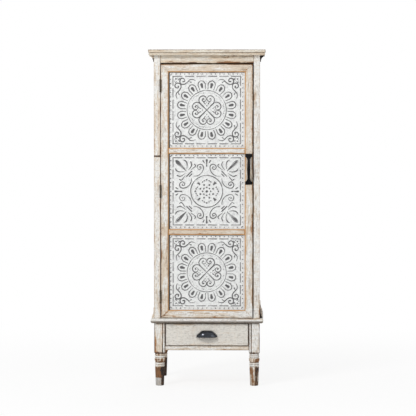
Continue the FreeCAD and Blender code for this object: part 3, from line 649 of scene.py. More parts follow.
def only_points(made):
    return [item for item in made if isinstance(item, bmesh.types.BMVert)]


def edges_of(points):
    return list({edge for point in points for edge in point.link_edges})


def sharp_edges(edges, angle):
    """The edges where two faces meet at more than an angle, in radians."""
    return [edge for edge in edges if edge.calc_face_angle(0) > angle]


def faces_within(points):
    """The faces that have all their corners among some points."""
    faces = {face for point in points for face in point.link_faces}
    return [face for face in faces if all(point in points for point in face.verts)]


# %% Soft edges with a stored rim
FINE_LINE = 1.6 * MM


def ease(shape, edges, width, segments=2):
    """Round some edges. Gives back the new faces."""
    made = bmesh.ops.bevel(
        shape, geom=edges, offset=width, segments=segments, profile=0.5, affect="EDGES", material=-1
    )
    return made["faces"]


def inner_lines(shape, least, rule):
    """Draw lines inside each wide face. The rule gives their distances and edge numbers."""
    layer = shape.verts.layers.float["edge"]
    narrow = {face: min(edge.calc_length() for edge in face.edges) for face in shape.faces}
    for face in [face for face in narrow if narrow[face] > least]:
        for distance, amount in rule(narrow[face]):
            bmesh.ops.inset_individual(shape, faces=[face], thickness=distance, use_even_offset=True)
            for point in face.verts:
                point[layer] = amount


def rim(shape, width, least=3.0 * MM):
    """Store 1 along the edges of wide faces and 0 inside them."""
    store_edge(shape, lambda point, now: 1.0)
    inner_lines(shape, least, lambda narrow: ((FINE_LINE, 0.6), (min(width, narrow * 0.3), 0.0)))


def soft_board(shape, width=1.0 * MM, rim_width=9.0 * MM):
    """Round all sharp edges of the boards in a shape and store their rims."""
    ease(shape, sharp_edges(shape.edges, 0.7), width)
    rim(shape, rim_width, max(3.0 * MM, 2.2 * width))


def plain_board(node, finish, body="carcass", width=1.0 * MM, rim_width=9.0 * MM):
    """Dress a node that is one straight board."""
    shape = start_piece()
    block(shape, *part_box(node))
    soft_board(shape, width, rim_width)
    return finish_piece(node, shape, finish, body)


print("boards can be made: block, ease, rim")

# %% [markdown]
# ## The carcass
#
# Two side panels, a back, two shelves and a face frame make the box. The grain
# of a real board runs along its length, so uprights take the paint whose
# streaks run up, and rails take the one that runs across. The side panels have
# grooves for the shelves, but those are hidden by the shelves' ends, so a plain
# board is right for them.

# %% Uprights, rails and shelves
for side in ("left", "right"):
    plain_board(f"side_panel_{side}", paint_finishes["z"])
    plain_board(f"face_stile_{side}", stile_paint)
for node in ("shelf_lower", "shelf_upper", "back_apron"):
    plain_board(node, paint_finishes["x"])
plain_board("face_rail_top", frieze_paint_and_shade)
plain_board("drawer_rail", rail_paint)
for side in ("left", "right"):
    plain_board(f"side_apron_{side}", paint_finishes["y"])
plain_board("back_panel", back_board)
print("carcass boards dressed")

# %% [markdown]
# ## Top board and base board
#
# The top is a thin board with small bevels. The base board is thicker and its
# whole front and side edge is one half round nose. The nose is a wide bevel
# with many segments, so wide that the flat edge disappears, and it turns the
# corners by itself.

# %% Top board, and base board with its round nose
plain_board("top_board", top_paint, width=1.4 * MM, rim_width=14 * MM)

low, high = corners("base_board")
shape = start_piece()
block(shape, low, high)
nosed = [
    edge
    for edge in shape.edges
    if abs(edge.verts[0].co.z - edge.verts[1].co.z) < MM
    and min(edge.verts[0].co.y, edge.verts[1].co.y) < high.y - MM
]
ease(shape, nosed, (high.z - low.z) / 2 - 0.5 * MM, 6)
rim(shape, 12 * MM, 60 * MM)


def base_wear(point, now):
    """The nose is hardly worn, and the top's edge half as much as a board's."""
    return 0.15 if low.z + 0.2 * MM < point.co.z < high.z - 0.2 * MM else min(now, 0.5)


store_edge(shape, base_wear)
finish_piece("base_board", shape, nose_paint_and_shade)
print("top and base boards dressed")

# %% [markdown]
# ## Mouldings
#
# A moulding is one profile pushed along a straight line. The profile is a short
# chain of points that starts and ends at the wood behind it, and the operator
# that extrudes a face makes the length. Where two strips meet at a corner, the
# end points are moved along the strip as far as they stand out from the wood:
# that is a mitre.

# %% A profile pushed along an axis
def strip(shape, outline, axis, start, end):
    """Fill an outline of points and extrude it along an axis, from start to end."""
    way = Vector([float(letter == axis) for letter in "xyz"])
    face = shape.faces.new([shape.verts.new(Vector(place) + way * start) for place in outline])
    made = bmesh.ops.extrude_face_region(shape, geom=[face])["geom"]
    bmesh.ops.translate(shape, vec=way * (end - start), verts=only_points(made))


def arc_points(centre, radius_a, radius_b, first, last, steps=10):
    """Points (a, b) on part of an ellipse, angles in degrees."""
    turns = [math.radians(first + (last - first) * k / steps) for k in range(steps + 1)]
    return [(centre[0] + radius_a * math.cos(t), centre[1] + radius_b * math.sin(t)) for t in turns]


# %% Bead under the top board
bead_low, bead_high = corners("crown_bead_front")
wood_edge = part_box("crown_bead_left")[1][0]
reach = bead_high.y - bead_low.y
radius = (bead_high.z - bead_low.z) / 2
middle = (bead_low.z + bead_high.z) / 2
nose = [(0.0, -radius), *arc_points((reach - radius, 0), radius, radius, -90, 90), (0.0, radius)]


def bead_wear(point, now):
    return 0.75 if abs(point.co.z - middle) < radius * 0.6 else 0.25


shape = start_piece()
outline = [(0, bead_high.y - out, middle + up) for out, up in nose]
strip(shape, outline, "x", wood_edge, -wood_edge)
for point in shape.verts:
    point.co.x += math.copysign(bead_high.y - point.co.y, point.co.x)
store_edge(shape, bead_wear)
finish_piece("crown_bead_front", shape, top_paint)

for way, side in ((-1, "left"), (1, "right")):
    shape = start_piece()
    outline = [(way * (abs(wood_edge) + out), 0, middle + up) for out, up in nose]
    strip(shape, outline, "y", bead_high.y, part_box(f"crown_bead_{side}")[1][1])
    for point in shape.verts:
        if point.co.y < bead_high.y + MM:
            point.co.y -= abs(point.co.x) - abs(wood_edge)
    store_edge(shape, bead_wear)
    finish_piece(f"crown_bead_{side}", shape, paint_finishes["y"])
print("bead reaches", round(reach / MM, 1), "mm and is", round(2 * radius / MM, 1), "mm high")

# %% Crown and base mouldings on the sides
def side_moulding(node, way, outline):
    """Push an outline of (out, up), as shares of the moulding's size, along one side."""
    low, high = corners(node)
    wall = high.x if way < 0 else low.x
    size = high - low
    shape = start_piece()
    places = [(wall + way * out * size.x, 0, low.z + up * size.z) for out, up in outline]
    strip(shape, places, "y", low.y, high.y)
    store_edge(shape, lambda point, now: 0.55)
    finish_piece(node, shape, moulding_paint_and_shade)


cove = [(1 - out, up) for out, up in arc_points((0.0, 0.0), 0.83, 0.84, 90, 0)]
flare = arc_points((1.0, 1.0), 0.70, 0.87, 270, 180)
for way, side in ((-1, "left"), (1, "right")):
    side_moulding(f"crown_moulding_{side}", way, [(0.0, 0.0), (0.0, 1.0), (1.0, 1.0)] + cove)
    side_moulding(f"base_moulding_{side}", way, [(0.0, 1.0), (0.0, 0.0), (1.0, 0.0)] + flare)
print("side mouldings dressed")

# %% [markdown]
# ## Turned legs
#
# A leg is square at the top, where the boards join it, and turned on a lathe
# below. Spinning a half outline about the leg's axis is the same work that the
# lathe does. The outline lists the rings, grooves and the bulb from the floor
# up. The square block is a second shape. The edge of its underside slopes up to
# its sides, as the lathe's tool leaves it where it reaches the square.

# %% Lathe
UPRIGHT = Vector((0, 0, 1))


def stand(shape, points, place, up):
    """Turn points that stand upright on the origin to face up, and move them to place."""
    turn = UPRIGHT.rotation_difference(Vector(up)).to_matrix()
    bmesh.ops.rotate(shape, cent=(0, 0, 0), matrix=turn, verts=points)
    bmesh.ops.translate(shape, vec=place, verts=points)


def lathe(shape, outline, place=(0, 0, 0), up=UPRIGHT, steps=24):
    """Spin an outline of (radius, height) and stand it at place, its axis along up."""
    before = set(shape.verts)
    chain = [shape.verts.new((radius, 0, height)) for radius, height in outline]
    wires = [shape.edges.new(pair) for pair in zip(chain, chain[1:])]
    bmesh.ops.spin(
        shape, geom=chain + wires, cent=(0, 0, 0), axis=UPRIGHT, angle=math.tau, steps=steps, use_merge=True
    )
    bmesh.ops.remove_doubles(shape, verts=fresh_points(shape, before), dist=1e-6)
    stand(shape, fresh_points(shape, before), place, up)


# %% The leg's outline, in millimetres
RING_STEPS = 6
LEG_PARTS = [  # height, radius at the sides, widest radius, where it is widest
    (6.8, 17.6, 19.2, 0.5), (6.8, 17.6, 19.2, 0.5), (16.4, 18.0, 20.8, 0.72), (6.4, 18.8, 20.4, 0.5),
    (6.8, 17.6, 19.2, 0.5),
]
GROOVE = 1.3
GROOVE_RADIUS = 16.8
NECK = 2.0
FOOT = [(0.0, 0.0), (13.8, 0.0), (15.4, 0.6), (16.0, 2.2)]
BLOCK_BOTTOM = 126.0


def leg_outline():
    """Half outline of the turned part as (radius, height)."""
    z = BLOCK_BOTTOM - NECK - sum(part[0] + GROOVE for part in LEG_PARTS)
    foot_radius, foot_top = FOOT[-1]
    taper = [(foot_radius + 2.6 * k / 4, foot_top + (z - foot_top) * k / 4) for k in (1, 2, 3, 4)]
    places = FOOT + taper
    for height, side, widest, peak in LEG_PARTS:
        places.append((GROOVE_RADIUS, z + GROOVE / 2))
        z += GROOVE
        for share in (k / RING_STEPS for k in range(RING_STEPS + 1)):
            bend = share / peak if share < peak else (1 - share) / (1 - peak)
            out = (widest - side) * math.sin(bend * math.pi / 2)
            places.append((side + out, z + height * share))
        z += height
    top = BLOCK_BOTTOM + 3.0
    return places + [(GROOVE_RADIUS, BLOCK_BOTTOM - 1.0), (GROOVE_RADIUS, top), (0.0, top)]


# %% Four legs
def turned_wear(point, now):
    """The grooves between the rings store the full edge number, which darkens them."""
    in_groove = math.hypot(point.co.x, point.co.y) < 18.1 * MM and point.co.z > 74 * MM
    return 1.0 if in_groove else 0.1


def leg(node):
    low, high = corners(node)
    half = (high.x - low.x) / 2
    bottom_z = BLOCK_BOTTOM * MM
    shape = start_piece()
    lathe(shape, [(radius * MM, height * MM) for radius, height in leg_outline()], steps=40)
    store_edge(shape, turned_wear)
    turned = set(shape.verts)
    made = block(shape, (-half, -half, bottom_z), (half, half, high.z))
    bottom = [point for point in made if point.co.z < bottom_z + MM]
    under = faces_within(bottom)
    bmesh.ops.inset_individual(shape, faces=under, thickness=3.5 * MM, use_even_offset=True)
    ring = [point for point in bottom if point not in under[0].verts[:]]
    bmesh.ops.translate(shape, vec=(0, 0, 3.0 * MM), verts=ring)
    square_edges = edges_of(fresh_points(shape, turned))
    ease(shape, sharp_edges(square_edges, 0.5), 1.2 * MM)
    store_edge(shape, lambda point, now: now if point in turned else 1.0)
    inner_lines(shape, 20 * MM, lambda narrow: ((FINE_LINE, 0.9), (7 * MM, 0.0)))
    centre = (low + high) / 2
    bmesh.ops.translate(shape, vec=(centre.x, centre.y, 0), verts=shape.verts[:])
    return finish_piece(node, shape, worn_leg_paint_and_shade, sharp=50)


for node in ("leg_front_left", "leg_front_right", "leg_back_left", "leg_back_right"):
    piece = leg(node)
print("a leg has", len(piece.data.polygons), "faces")

# %% [markdown]
# ## The door's frame
#
# The door's frame is mitred at its corners, with two narrow rails between. The
# edge round each opening is rounded wider than the others and is rubbed down to
# the wood, which draws the thin orange line round every metal panel. A member
# has two layers: the front one is full width, and the back one is narrower,
# which leaves the step that the metal and its board lie in.

# %% Door members
door_low, door_high = corners("door_stile_left")[0], corners("door_stile_right")[1]
opening_left, opening_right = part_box("door_stile_left")[1][0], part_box("door_stile_right")[0][0]
frame_width = opening_left - door_low.x
opening_foot, opening_head = door_low.z + frame_width, door_high.z - frame_width
STEP_DEPTH = 7.0 * MM
REBATE = 6.0 * MM
X, Z = 0, 2


def member(node, finish, outline, sides):
    """One frame member from its front view, four corners (x, z), outside first.

    sides are its edges at an opening: along which axis the edge's place is
    measured, that place, and the way to the opening.
    """
    shape = start_piece()
    step = door_low.y + STEP_DEPTH
    for front, back, cut in ((door_low.y, step, 0.0), (step, door_high.y, REBATE)):
        places = [Vector((x, 0, z)) for x, z in outline]
        for place in places:
            for axis, line, way in sides:
                if abs(place[axis] - line) < MM:
                    place[axis] -= way * cut
        strip(shape, places, "y", front, back)
    bmesh.ops.recalc_face_normals(shape, faces=shape.faces[:])

    def faces_opening(edge):
        ends = [point.co for point in edge.verts]
        at_front = all(end.y < door_low.y + 0.1 * MM for end in ends)
        on_sides = [all(abs(end[axis] - line) < MM for end in ends) for axis, line, way in sides]
        return at_front and any(on_sides)

    worn = ease(shape, [edge for edge in shape.edges if faces_opening(edge)], 2.6 * MM, 3)
    worn_places = [point.co.copy() for face in worn for point in face.verts]
    ease(shape, sharp_edges(shape.edges, 0.8), 0.7 * MM)
    rim(shape, 8 * MM, 5 * MM)

    def wear(point, now):
        """Bare wood at the openings, and a rubbed line along the door's outer edge."""
        place = point.co
        inward = min(*(place - door_low).xz, *(door_high - place).xz)
        near_front = place.y < door_low.y + 3 * MM
        if near_front and any((place - spot).length < MM for spot in worn_places):
            return 2.8
        return 1.5 if place.y < door_low.y + MM and inward < MM else now

    store_edge(shape, wear)
    finish_piece(node, shape, finish, "door")


# %% Stiles and rails
def rectangle(left, foot, right, head):
    """Four corners (x, z), clockwise from the lower left."""
    return [(left, foot), (left, head), (right, head), (right, foot)]


outside = rectangle(door_low.x, door_low.z, door_high.x, door_high.z)
inside = rectangle(opening_left, opening_foot, opening_right, opening_head)
MITRED = {
    "door_stile_left": ("z", 0, 1, (X, opening_left, 1)),
    "door_stile_right": ("z", 3, 2, (X, opening_right, -1)),
    "door_rail_top": ("x", 1, 2, (Z, opening_head, -1)),
    "door_rail_bottom": ("x", 0, 3, (Z, opening_foot, 1)),
}
for node, (along, first, last, side) in MITRED.items():
    outline = [outside[first], inside[first], inside[last], outside[last]]
    member(node, door_finishes[along], outline, [side])
for node in ("door_rail_lower_middle", "door_rail_upper_middle"):
    low, high = corners(node)
    outline = rectangle(low.x, low.z, high.x, high.z)
    member(node, door_finishes["x"], outline, [(Z, low.z, -1), (Z, high.z, 1)])
for name in ("bottom", "middle", "top"):
    plain_board(f"panel_backing_{name}", back_board, "door", 0.4 * MM)
print("door frame is", [round(size / MM) for size in (door_high - door_low).xz], "mm")

# %% [markdown]
# ## Drawer
#
# The drawer's front is painted like the rest. Its box is plain wood with a
# plywood bottom held in a groove. Only the front shows when the drawer is shut,
# but the open drawer shows all of it.

# %% Drawer boards
plain_board("drawer_front", drawer_paint, "drawer", width=1.3 * MM)
for side in ("left", "right"):
    plain_board(f"drawer_side_{side}", drawer_wood, "drawer", 0.8 * MM)
plain_board("drawer_back", drawer_board, "drawer", 0.8 * MM)
plain_board("drawer_bottom", drawer_board, "drawer", 0.3 * MM)
print("drawer boards dressed")

# %% Drawer runners
for way, side in ((-1, "left"), (1, "right")):
    node = f"drawer_runner_{side}"
    low, high = corners(node)
    outer, inner = (low.x, high.x) if way < 0 else (high.x, low.x)
    box_low, box_high = corners(f"drawer_side_{side}")
    ledge = box_low.z - 0.3 * MM
    guide = (box_low.x if way < 0 else box_high.x) + way * 0.5 * MM
    ledge_part = [(outer, low.z), (inner, low.z), (inner, ledge), (guide, ledge)]
    guide_part = [(guide, high.z), (outer, high.z)]
    shape = start_piece()
    strip(shape, [(x, 0, z) for x, z in ledge_part + guide_part], "y", low.y, high.y)
    ease(shape, shape.edges[:], 0.8 * MM)
    finish_piece(node, shape, drawer_wood)
print("runners dressed")

# %% [markdown]
# ## Pressed metal panels
#
# Each panel is a thin sheet that a press has stamped with traditional ornament:
# scrolls, hearts, petals, leaves and dots. It is painted white, and the dark
# underpaint shows where the lines were rubbed. Such a sheet could be built from
# hundreds of small solids, but a press moves one flat sheet, and so does this
# cell: a fine grid is made once, and every point moves by how far it lies from
# the nearest line of the drawing. The same distance is stored as `ink`, which
# darkens the line. The ornament repeats in all four quarters, so the drawing is
# made once for a quarter, by folding every point into it.

# %% Distances to lines and drops
def fade(distance, inside, outside):
    """1 where distance is below inside, 0 above outside, soft between."""
    share = np.clip((distance - outside) / (inside - outside), 0, 1)
    return share * share * (3 - 2 * share)


def curve_through(places, steps=6):
    """A smooth chain of places through a few of them, such as (x, y, half width)."""
    places = [np.array(place, dtype=float) for place in places]
    padded = [2 * places[0] - places[1], *places, 2 * places[-1] - places[-2]]
    chain = []
    for a, b, c, d in zip(padded, padded[1:], padded[2:], padded[3:]):
        square, cube = 2 * a - 5 * b + 4 * c - d, 3 * b - a - 3 * c + d
        chain += [0.5 * (2 * b + (c - a) * t + square * t**2 + cube * t**3) for t in np.arange(steps) / steps]
    return chain + [places[-1]]


def stroke_distance(x, y, chain):
    """Distance of each point outside a stroke whose width changes along its chain."""
    nearest = np.full(x.shape, 1e3)
    for (ax, ay, aw), (bx, by, bw) in zip(chain, chain[1:]):
        dx, dy = bx - ax, by - ay
        share = np.clip(((x - ax) * dx + (y - ay) * dy) / (dx * dx + dy * dy + 1e-9), 0, 1)
        away = np.hypot(x - ax - share * dx, y - ay - share * dy) - aw - share * (bw - aw)
        nearest = np.minimum(nearest, away)
    return nearest


# %% One stamped drawing
FAR = 9.0  # millimetres, too far away to press or to raise anything


class Stamp:
    """Collects the lines of a drawing on a grid of points, in millimetres from its middle."""

    def __init__(self, x, y):
        self.x, self.y = np.abs(x), np.abs(y)
        self.reach = np.hypot(self.x, self.y)
        self.ink = np.zeros_like(x)
        self.raised = np.zeros_like(x)
        self.sunk = np.zeros_like(x)

    def press(self, distance, ink=1.0, lip=1.0):
        """Sink and darken the inside of a shape and raise a lip round it."""
        inside = fade(distance, -0.6, 1.3)
        self.ink = np.maximum(self.ink, inside * ink)
        self.sunk = np.maximum(self.sunk, inside * min(1.0, ink + 0.2))
        self.raised = np.maximum(self.raised, lip * np.exp(-(((distance - 1.9) / 1.2) ** 2)))

    def stroke(self, places, ink=1.0, mirrored=True):
        """A line through places in one quarter, and its mirror image across the diagonal."""
        self.press(stroke_distance(self.x, self.y, places), ink)
        if mirrored:
            self.press(stroke_distance(self.y, self.x, places), ink)

    def round_fold(self, count, turned=0.0):
        """Fold the sheet into one of count equal sectors: (sideways, outwards)."""
        sector = math.tau / count
        angle = np.arctan2(self.x, self.y) + turned * sector
        angle = np.abs((angle + sector / 2) % sector - sector / 2)
        return self.reach * np.sin(angle), self.reach * np.cos(angle)

    def height(self, high, deep):
        return self.raised * (1 - self.sunk) * high - self.sunk * deep


# %% Border of dashes and dots
DASH_LINE = 129.8
DASH_STEP = 44.3
HALF_DASH = 17.2
DOT_LINE = 138.6
DOT_STEP = 16.9


def from_nearest(along, step):
    """The way from the nearest of the places that lie a step apart."""
    return (along + step / 2) % step - step / 2


def stamp_border(stamp):
    for along, across in ((stamp.x, stamp.y), (stamp.y, stamp.x)):
        in_dash = np.abs(np.abs(from_nearest(along, DASH_STEP)) - DASH_STEP / 2) - HALF_DASH
        in_dash = np.where(along > 2.5 * DASH_STEP, -FAR, in_dash)
        dash = np.maximum(np.abs(across - DASH_LINE) - 1.1, in_dash)
        stamp.press(np.maximum(dash, along - DASH_LINE - 1.2), 0.95)
        dot = np.hypot(from_nearest(along, DOT_STEP), across - DOT_LINE) - 2.0
        stamp.press(np.where(along < DOT_LINE + 3.0, dot, FAR), 0.72)


# %% Rosette with hearts, petals and corner scrolls
HEART = [
    (0.0, 0.0, 1.1), (13.8, 14.8, 1.2), (27.0, 29.0, 1.3), (30.0, 38.6, 1.4), (25.5, 49.5, 1.5),
    (14.4, 55.0, 1.5), (4.4, 51.0, 1.4), (1.4, 43.2, 1.3), (5.0, 35.2, 1.2), (13.0, 33.4, 1.2),
    (17.4, 39.0, 1.2), (14.4, 44.6, 1.4), (11.6, 42.0, 2.2),
]
PETAL = [(11.0, 80.0, 0.8), (14.4, 100.0, 1.3), (9.8, 110.4, 1.4), (0.0, 114.8, 1.4)]
PETAL_ECHO = [(15.0, 86.0, 0.5), (17.6, 102.0, 0.7), (12.2, 115.0, 0.7), (0.0, 119.4, 0.7)]
PETAL_DROP = [(0.0, 100.2, 5.0), (0.0, 89.4, 3.2)]
CORNER_SCROLL = [
    (44.0, 114.0, 0.5), (54.0, 117.6, 0.9), (64.4, 116.2, 1.2), (74.6, 106.6, 1.5), (86.0, 99.2, 1.7),
    (98.0, 100.2, 1.8), (103.4, 109.0, 1.8), (100.6, 119.0, 1.7), (92.6, 122.4, 1.6), (85.6, 117.2, 1.5),
    (85.8, 109.8, 1.5), (91.4, 109.6, 2.3),
]
ROSETTE_DROPS = [  # chain and ink
    ([(7.4, 26.6, 2.0), (5.2, 22.4, 0.9)], 0.7), ([(0.0, 31.0, 1.5), (0.4, 30.0, 1.2)], 0.7),
    ([(10.6, 30.0, 1.5), (11.0, 29.0, 1.2)], 0.7), ([(0.0, 17.0, 1.5), (0.4, 16.0, 1.2)], 0.7),
    ([(60.0, 106.2, 1.8), (67.0, 109.6, 0.7)], 0.8), ([(105.0, 120.2, 1.8), (109.6, 115.4, 1.0)], 0.8),
    ([(111.0, 123.4, 1.4), (112.0, 122.6, 1.2)], 0.8),
]


def stamp_rosette(stamp):
    stamp_border(stamp)
    stamp.stroke(curve_through(HEART), 0.85)
    stamp.stroke(curve_through(CORNER_SCROLL))
    for chain, ink in ROSETTE_DROPS:
        stamp.stroke(chain, ink)
    stamp.press(np.hypot(stamp.x - 118.4, stamp.y - 119.6) - 2.5)
    stamp.press(np.abs(stamp.reach - 75.4) - 1.1, 0.72)
    side, out = stamp.round_fold(16)
    arc = np.abs(np.hypot(side, out - 60.0) - 9.0) - 0.5
    stamp.press(np.where(out > 62.0, arc, FAR), 0.5, 0.5)
    side, out = stamp.round_fold(16, 0.5)
    stamp.press(np.hypot(side, out - 66.5) - 1.6, 0.7, 0.5)
    stamp.press(stroke_distance(side, out, PETAL), 0.85)
    stamp.press(stroke_distance(side, out, curve_through(PETAL_ECHO)), 0.3, 0.5)
    stamp.press(stroke_distance(side, out, PETAL_DROP))


# %% Medallion with lilies and leaves
SIDE_SCROLL = [
    (51.5, 58.8, 0.4), (45.0, 58.8, 0.8), (36.6, 60.0, 1.1), (25.0, 66.2, 1.3), (16.2, 77.0, 1.4),
    (12.4, 90.2, 1.5), (15.2, 100.4, 1.5), (25.0, 104.6, 1.5), (34.8, 99.6, 1.4), (36.0, 90.6, 1.3),
    (29.2, 84.4, 1.2), (22.4, 88.4, 1.2), (24.0, 95.0, 1.3), (28.4, 93.2, 1.7),
]
LILY_LEAVES = [
    [(77.0, 87.0, 0.6), (75.0, 98.0, 1.1), (76.4, 109.0, 1.7), (81.0, 117.0, 2.0), (88.4, 120.6, 0.8)],
    [(70.0, 82.0, 0.6), (62.4, 92.4, 1.1), (58.0, 103.0, 1.7), (61.6, 114.0, 1.6)],
    [(61.0, 83.0, 0.6), (50.6, 90.6, 1.1), (43.0, 98.0, 1.6), (46.4, 105.0, 1.5)],
]
LILY_PETAL = [(79.0, 79.0, 1.0), (98.0, 98.0, 4.6), (110.0, 110.0, 7.0), (117.6, 117.6, 3.4)]
LILY_TIP = [(96.0, 96.0, 0.6), (108.0, 108.0, 2.6), (114.0, 114.0, 3.0)]
LILY_BANDS = [[(58.4, 77.2, 1.7), (77.2, 58.4, 1.7)], [(57.6, 67.0, 1.7), (67.0, 57.6, 1.7)]]
MEDALLION_DROPS = [  # chain and ink
    ([(0.0, 45.0, 2.6), (1.6, 43.9, 2.08)], 0.8), ([(8.6, 41.2, 2.1), (10.2, 40.1, 1.68)], 0.8),
    ([(15.0, 36.8, 1.9), (16.6, 35.7, 1.52)], 0.8), ([(27.4, 27.4, 2.8), (35.0, 35.0, 0.9)], 0.85),
    ([(28.4, 30.4, 1.6), (31.0, 38.0, 0.8)], 0.7), ([(9.6, 111.0, 1.2), (14.2, 118.6, 1.8)], 0.9),
    ([(0.0, 120.6, 3.4), (0.0, 111.0, 1.7), (0.0, 103.6, 1.0), (0.0, 98.0, 2.7)], 1.0),
]


def stamp_medallion(stamp):
    stamp_border(stamp)
    stamp.press(np.abs(stamp.reach - 61.4) - 1.4, 0.8)
    stamp.press(stamp.reach - 4.2)
    side, out = stamp.round_fold(8)
    stamp.press(np.hypot(side * 0.7, out - 15.4) - 2.4, 0.66)
    side, out = stamp.round_fold(8, 0.5)
    stamp.press(np.hypot(side, out - 26.6) - 3.1, 0.92)
    for chain, ink in MEDALLION_DROPS:
        stamp.stroke(chain, ink)
    for line in (SIDE_SCROLL, *LILY_LEAVES):
        stamp.stroke(curve_through(line), 0.85)
    for chain in LILY_BANDS:
        stamp.stroke(chain, mirrored=False)
    petal = stroke_distance(stamp.x, stamp.y, curve_through(LILY_PETAL))
    stamp.press(petal + 1.0, 0.62)
    stamp.press(stroke_distance(stamp.x, stamp.y, LILY_TIP), lip=0.0)
    stamp.press(np.abs(petal + 0.8) - 0.7, 0.85, 0.4)


print("rosette curve has", len(curve_through(HEART)), "places, scroll", len(curve_through(SIDE_SCROLL)))

# %% [markdown]
# ## The panels' finish
#
# White paint lies over a dark coat. Where `ink` is high the dark coat shows,
# broken up by noise, because a cloth never rubs evenly: some petals stay almost
# white and others turn nearly black. `ink` also holds a painted shadow along each
# opening's left side and top, shown in the same dark coat. The sheet has a slight
# satin gloss.

# %% Rubbed white over dark
def rubbed_metal_and_shadow():
    finish = Finish("rubbed_metal_and_shadow", Metallic=0.0, Roughness=0.5, Specular_IOR_Level=0.4)
    place = finish.place()
    board = finish.attribute("board") * 9.0
    cloud = finish.noise(place, 26.0, 3.0, 0.6, board)
    crumbs = finish.noise(place, 420.0, 3.0, 0.7, board + 2.0)
    dust = finish.noise(place, 150.0, 4.0, 0.7, board + 6.0)
    smudge = finish.noise(place, 70.0, 4.0, 0.75, board + 4.0)
    force = cloud.step(0.34, 0.66) * 0.65 + smudge * 0.55 + 0.38
    # ink also carries the painted shadow along each opening's left side and top.
    rubbed = (finish.attribute("ink") * force + crumbs * 0.3 - 0.15).step(0.18, 0.68)
    speckle = (dust * 0.5 + crumbs * 0.2 + smudge * 0.3).step(0.46, 0.66)
    white = finish.mix(speckle * 0.75, rgb(235, 236, 235), rgb(176, 176, 177))
    finish.feed("Base Color", finish.mix(rubbed * 0.92, white, rgb(64, 62, 64)))
    finish.feed("Roughness", 0.44 + crumbs * 0.2 + rubbed * 0.12)
    finish.bump(crumbs * 0.5 + dust * 0.5, 0.2 * MM)
    return finish


pressed_tin = rubbed_metal_and_shadow()

# %% Stamp the three sheets
CELLS = 300
SHEET = 1.0 * MM
RAISED, SUNK = 1.2, 0.6


def stamped_sheet(name, drawing):
    node = f"metal_panel_{name}"
    low, high = corners(node)
    shape = bmesh.new()
    ink_and_shadow_layer = shape.verts.layers.float.new("ink")
    points = bmesh.ops.create_grid(shape, x_segments=CELLS, y_segments=CELLS, size=0.5)["verts"]
    bmesh.ops.rotate(shape, matrix=Matrix.Rotation(math.radians(90), 3, "X"), verts=points)
    bmesh.ops.scale(shape, vec=(high.x - low.x, 1, high.z - low.z), verts=points)
    x, _, z = np.array([point.co for point in points]).T / MM
    stamp = Stamp(x, z)
    drawing(stamp)
    heights = stamp.height(RAISED, SUNK)
    # Painted shadow: dark ink is stored along the left side and the top of the opening, where the frame's
    # shadow falls.
    painted_side_shadow = fade(x + (opening_right - opening_left) / 2 / MM - 4.6, -0.6, 1.8)
    painted_top_shadow = fade(z.max() - 7.0 - z, 0.0, 3.0) * 0.6
    for point, height, *inks in zip(points, heights, stamp.ink, painted_side_shadow, painted_top_shadow):
        point.co.y = -height * MM
        point[ink_and_shadow_layer] = max(inks)
    border = [edge for edge in shape.edges if edge.is_boundary]
    made = bmesh.ops.extrude_edge_only(shape, edges=border)["geom"]
    for point in only_points(made):
        point.co.y = SHEET
    bmesh.ops.edgeloop_fill(shape, edges=[item for item in made if isinstance(item, bmesh.types.BMEdge)])
    middle = (low + high) / 2
    bmesh.ops.translate(shape, vec=(middle.x, high.y - SHEET, middle.z), verts=shape.verts[:])
    piece = finish_piece(node, shape, pressed_tin, "door", 60, "stamped")
    print(piece.name, len(piece.data.vertices), "points, relief", round(float(heights.max()), 2), "mm")


stamped_sheet("bottom", stamp_rosette)
stamped_sheet("middle", stamp_medallion)
stamped_sheet("top", stamp_rosette)

# %% [markdown]
# ## Small turned parts
#
# Pins, knuckles, screw heads and bosses are all round about one line, so the
# lathe makes each of them. A screw's cross is cut by slicing its head along four
# lines each way and pushing the points between the inner lines down, which
# leaves steep walls as a punch does.

# %% Screws
SHANK_RADIUS = 2.0 * MM


def screw(shape, seat, up, radius, dome, shank=0.0):
    """A screw head with a punched cross, on its seat and facing up, and its shank behind."""
    before = set(shape.verts)
    turns = [math.radians(angle) for angle in (75, 60, 45, 30, 15, 0)]
    outline = [(radius, 0.0)] + [(radius * math.sin(turn), dome * math.cos(turn)) for turn in turns]
    if shank:
        tip = [(0.0, -shank), (SHANK_RADIUS * 0.7, -shank), (SHANK_RADIUS, MM - shank)]
        outline = tip + [(SHANK_RADIUS, 0.0)] + outline
    lathe(shape, outline)

    def head():
        return [point for point in fresh_points(shape, before) if point.co.z > dome * 0.2]

    half, reach = radius * 0.11, radius * 0.62
    for line in (half, half * 1.5):
        for normal in ((1, 0, 0), (-1, 0, 0), (0, 1, 0), (0, -1, 0)):
            points = head()
            edges = [edge for edge in edges_of(points) if all(end in points for end in edge.verts)]
            cut = faces_within(points) + edges + points
            place = Vector(normal) * line
            bmesh.ops.bisect_plane(shape, geom=cut, plane_co=place, plane_no=normal, dist=1e-7)
    for point in head():
        x, y = abs(point.co.x), abs(point.co.y)
        if min(x, y) < half * 1.05 and max(x, y) < reach:
            point.co.z -= dome * 0.55
    stand(shape, fresh_points(shape, before), seat, up)


# %% Pull screws behind the door and the drawer front
HEAD, DOME = 4.0 * MM, 2.5 * MM
for node, body in (("door_pull_screws", "door"), ("cup_pull_screws", "drawer")):
    low, high = corners(node)
    along = X if high.x - low.x > high.z - low.z else Z
    shape = start_piece()
    for end in (low[along] + HEAD, high[along] - HEAD):
        place = (low + high) / 2
        place[along] = end
        place.y = high.y - DOME
        screw(shape, place, (0, 1, 0), HEAD, DOME, place.y - low.y)
    piece = finish_piece(node, shape, plain_steel, body)
    print(piece.name, len(piece.data.polygons), "faces")

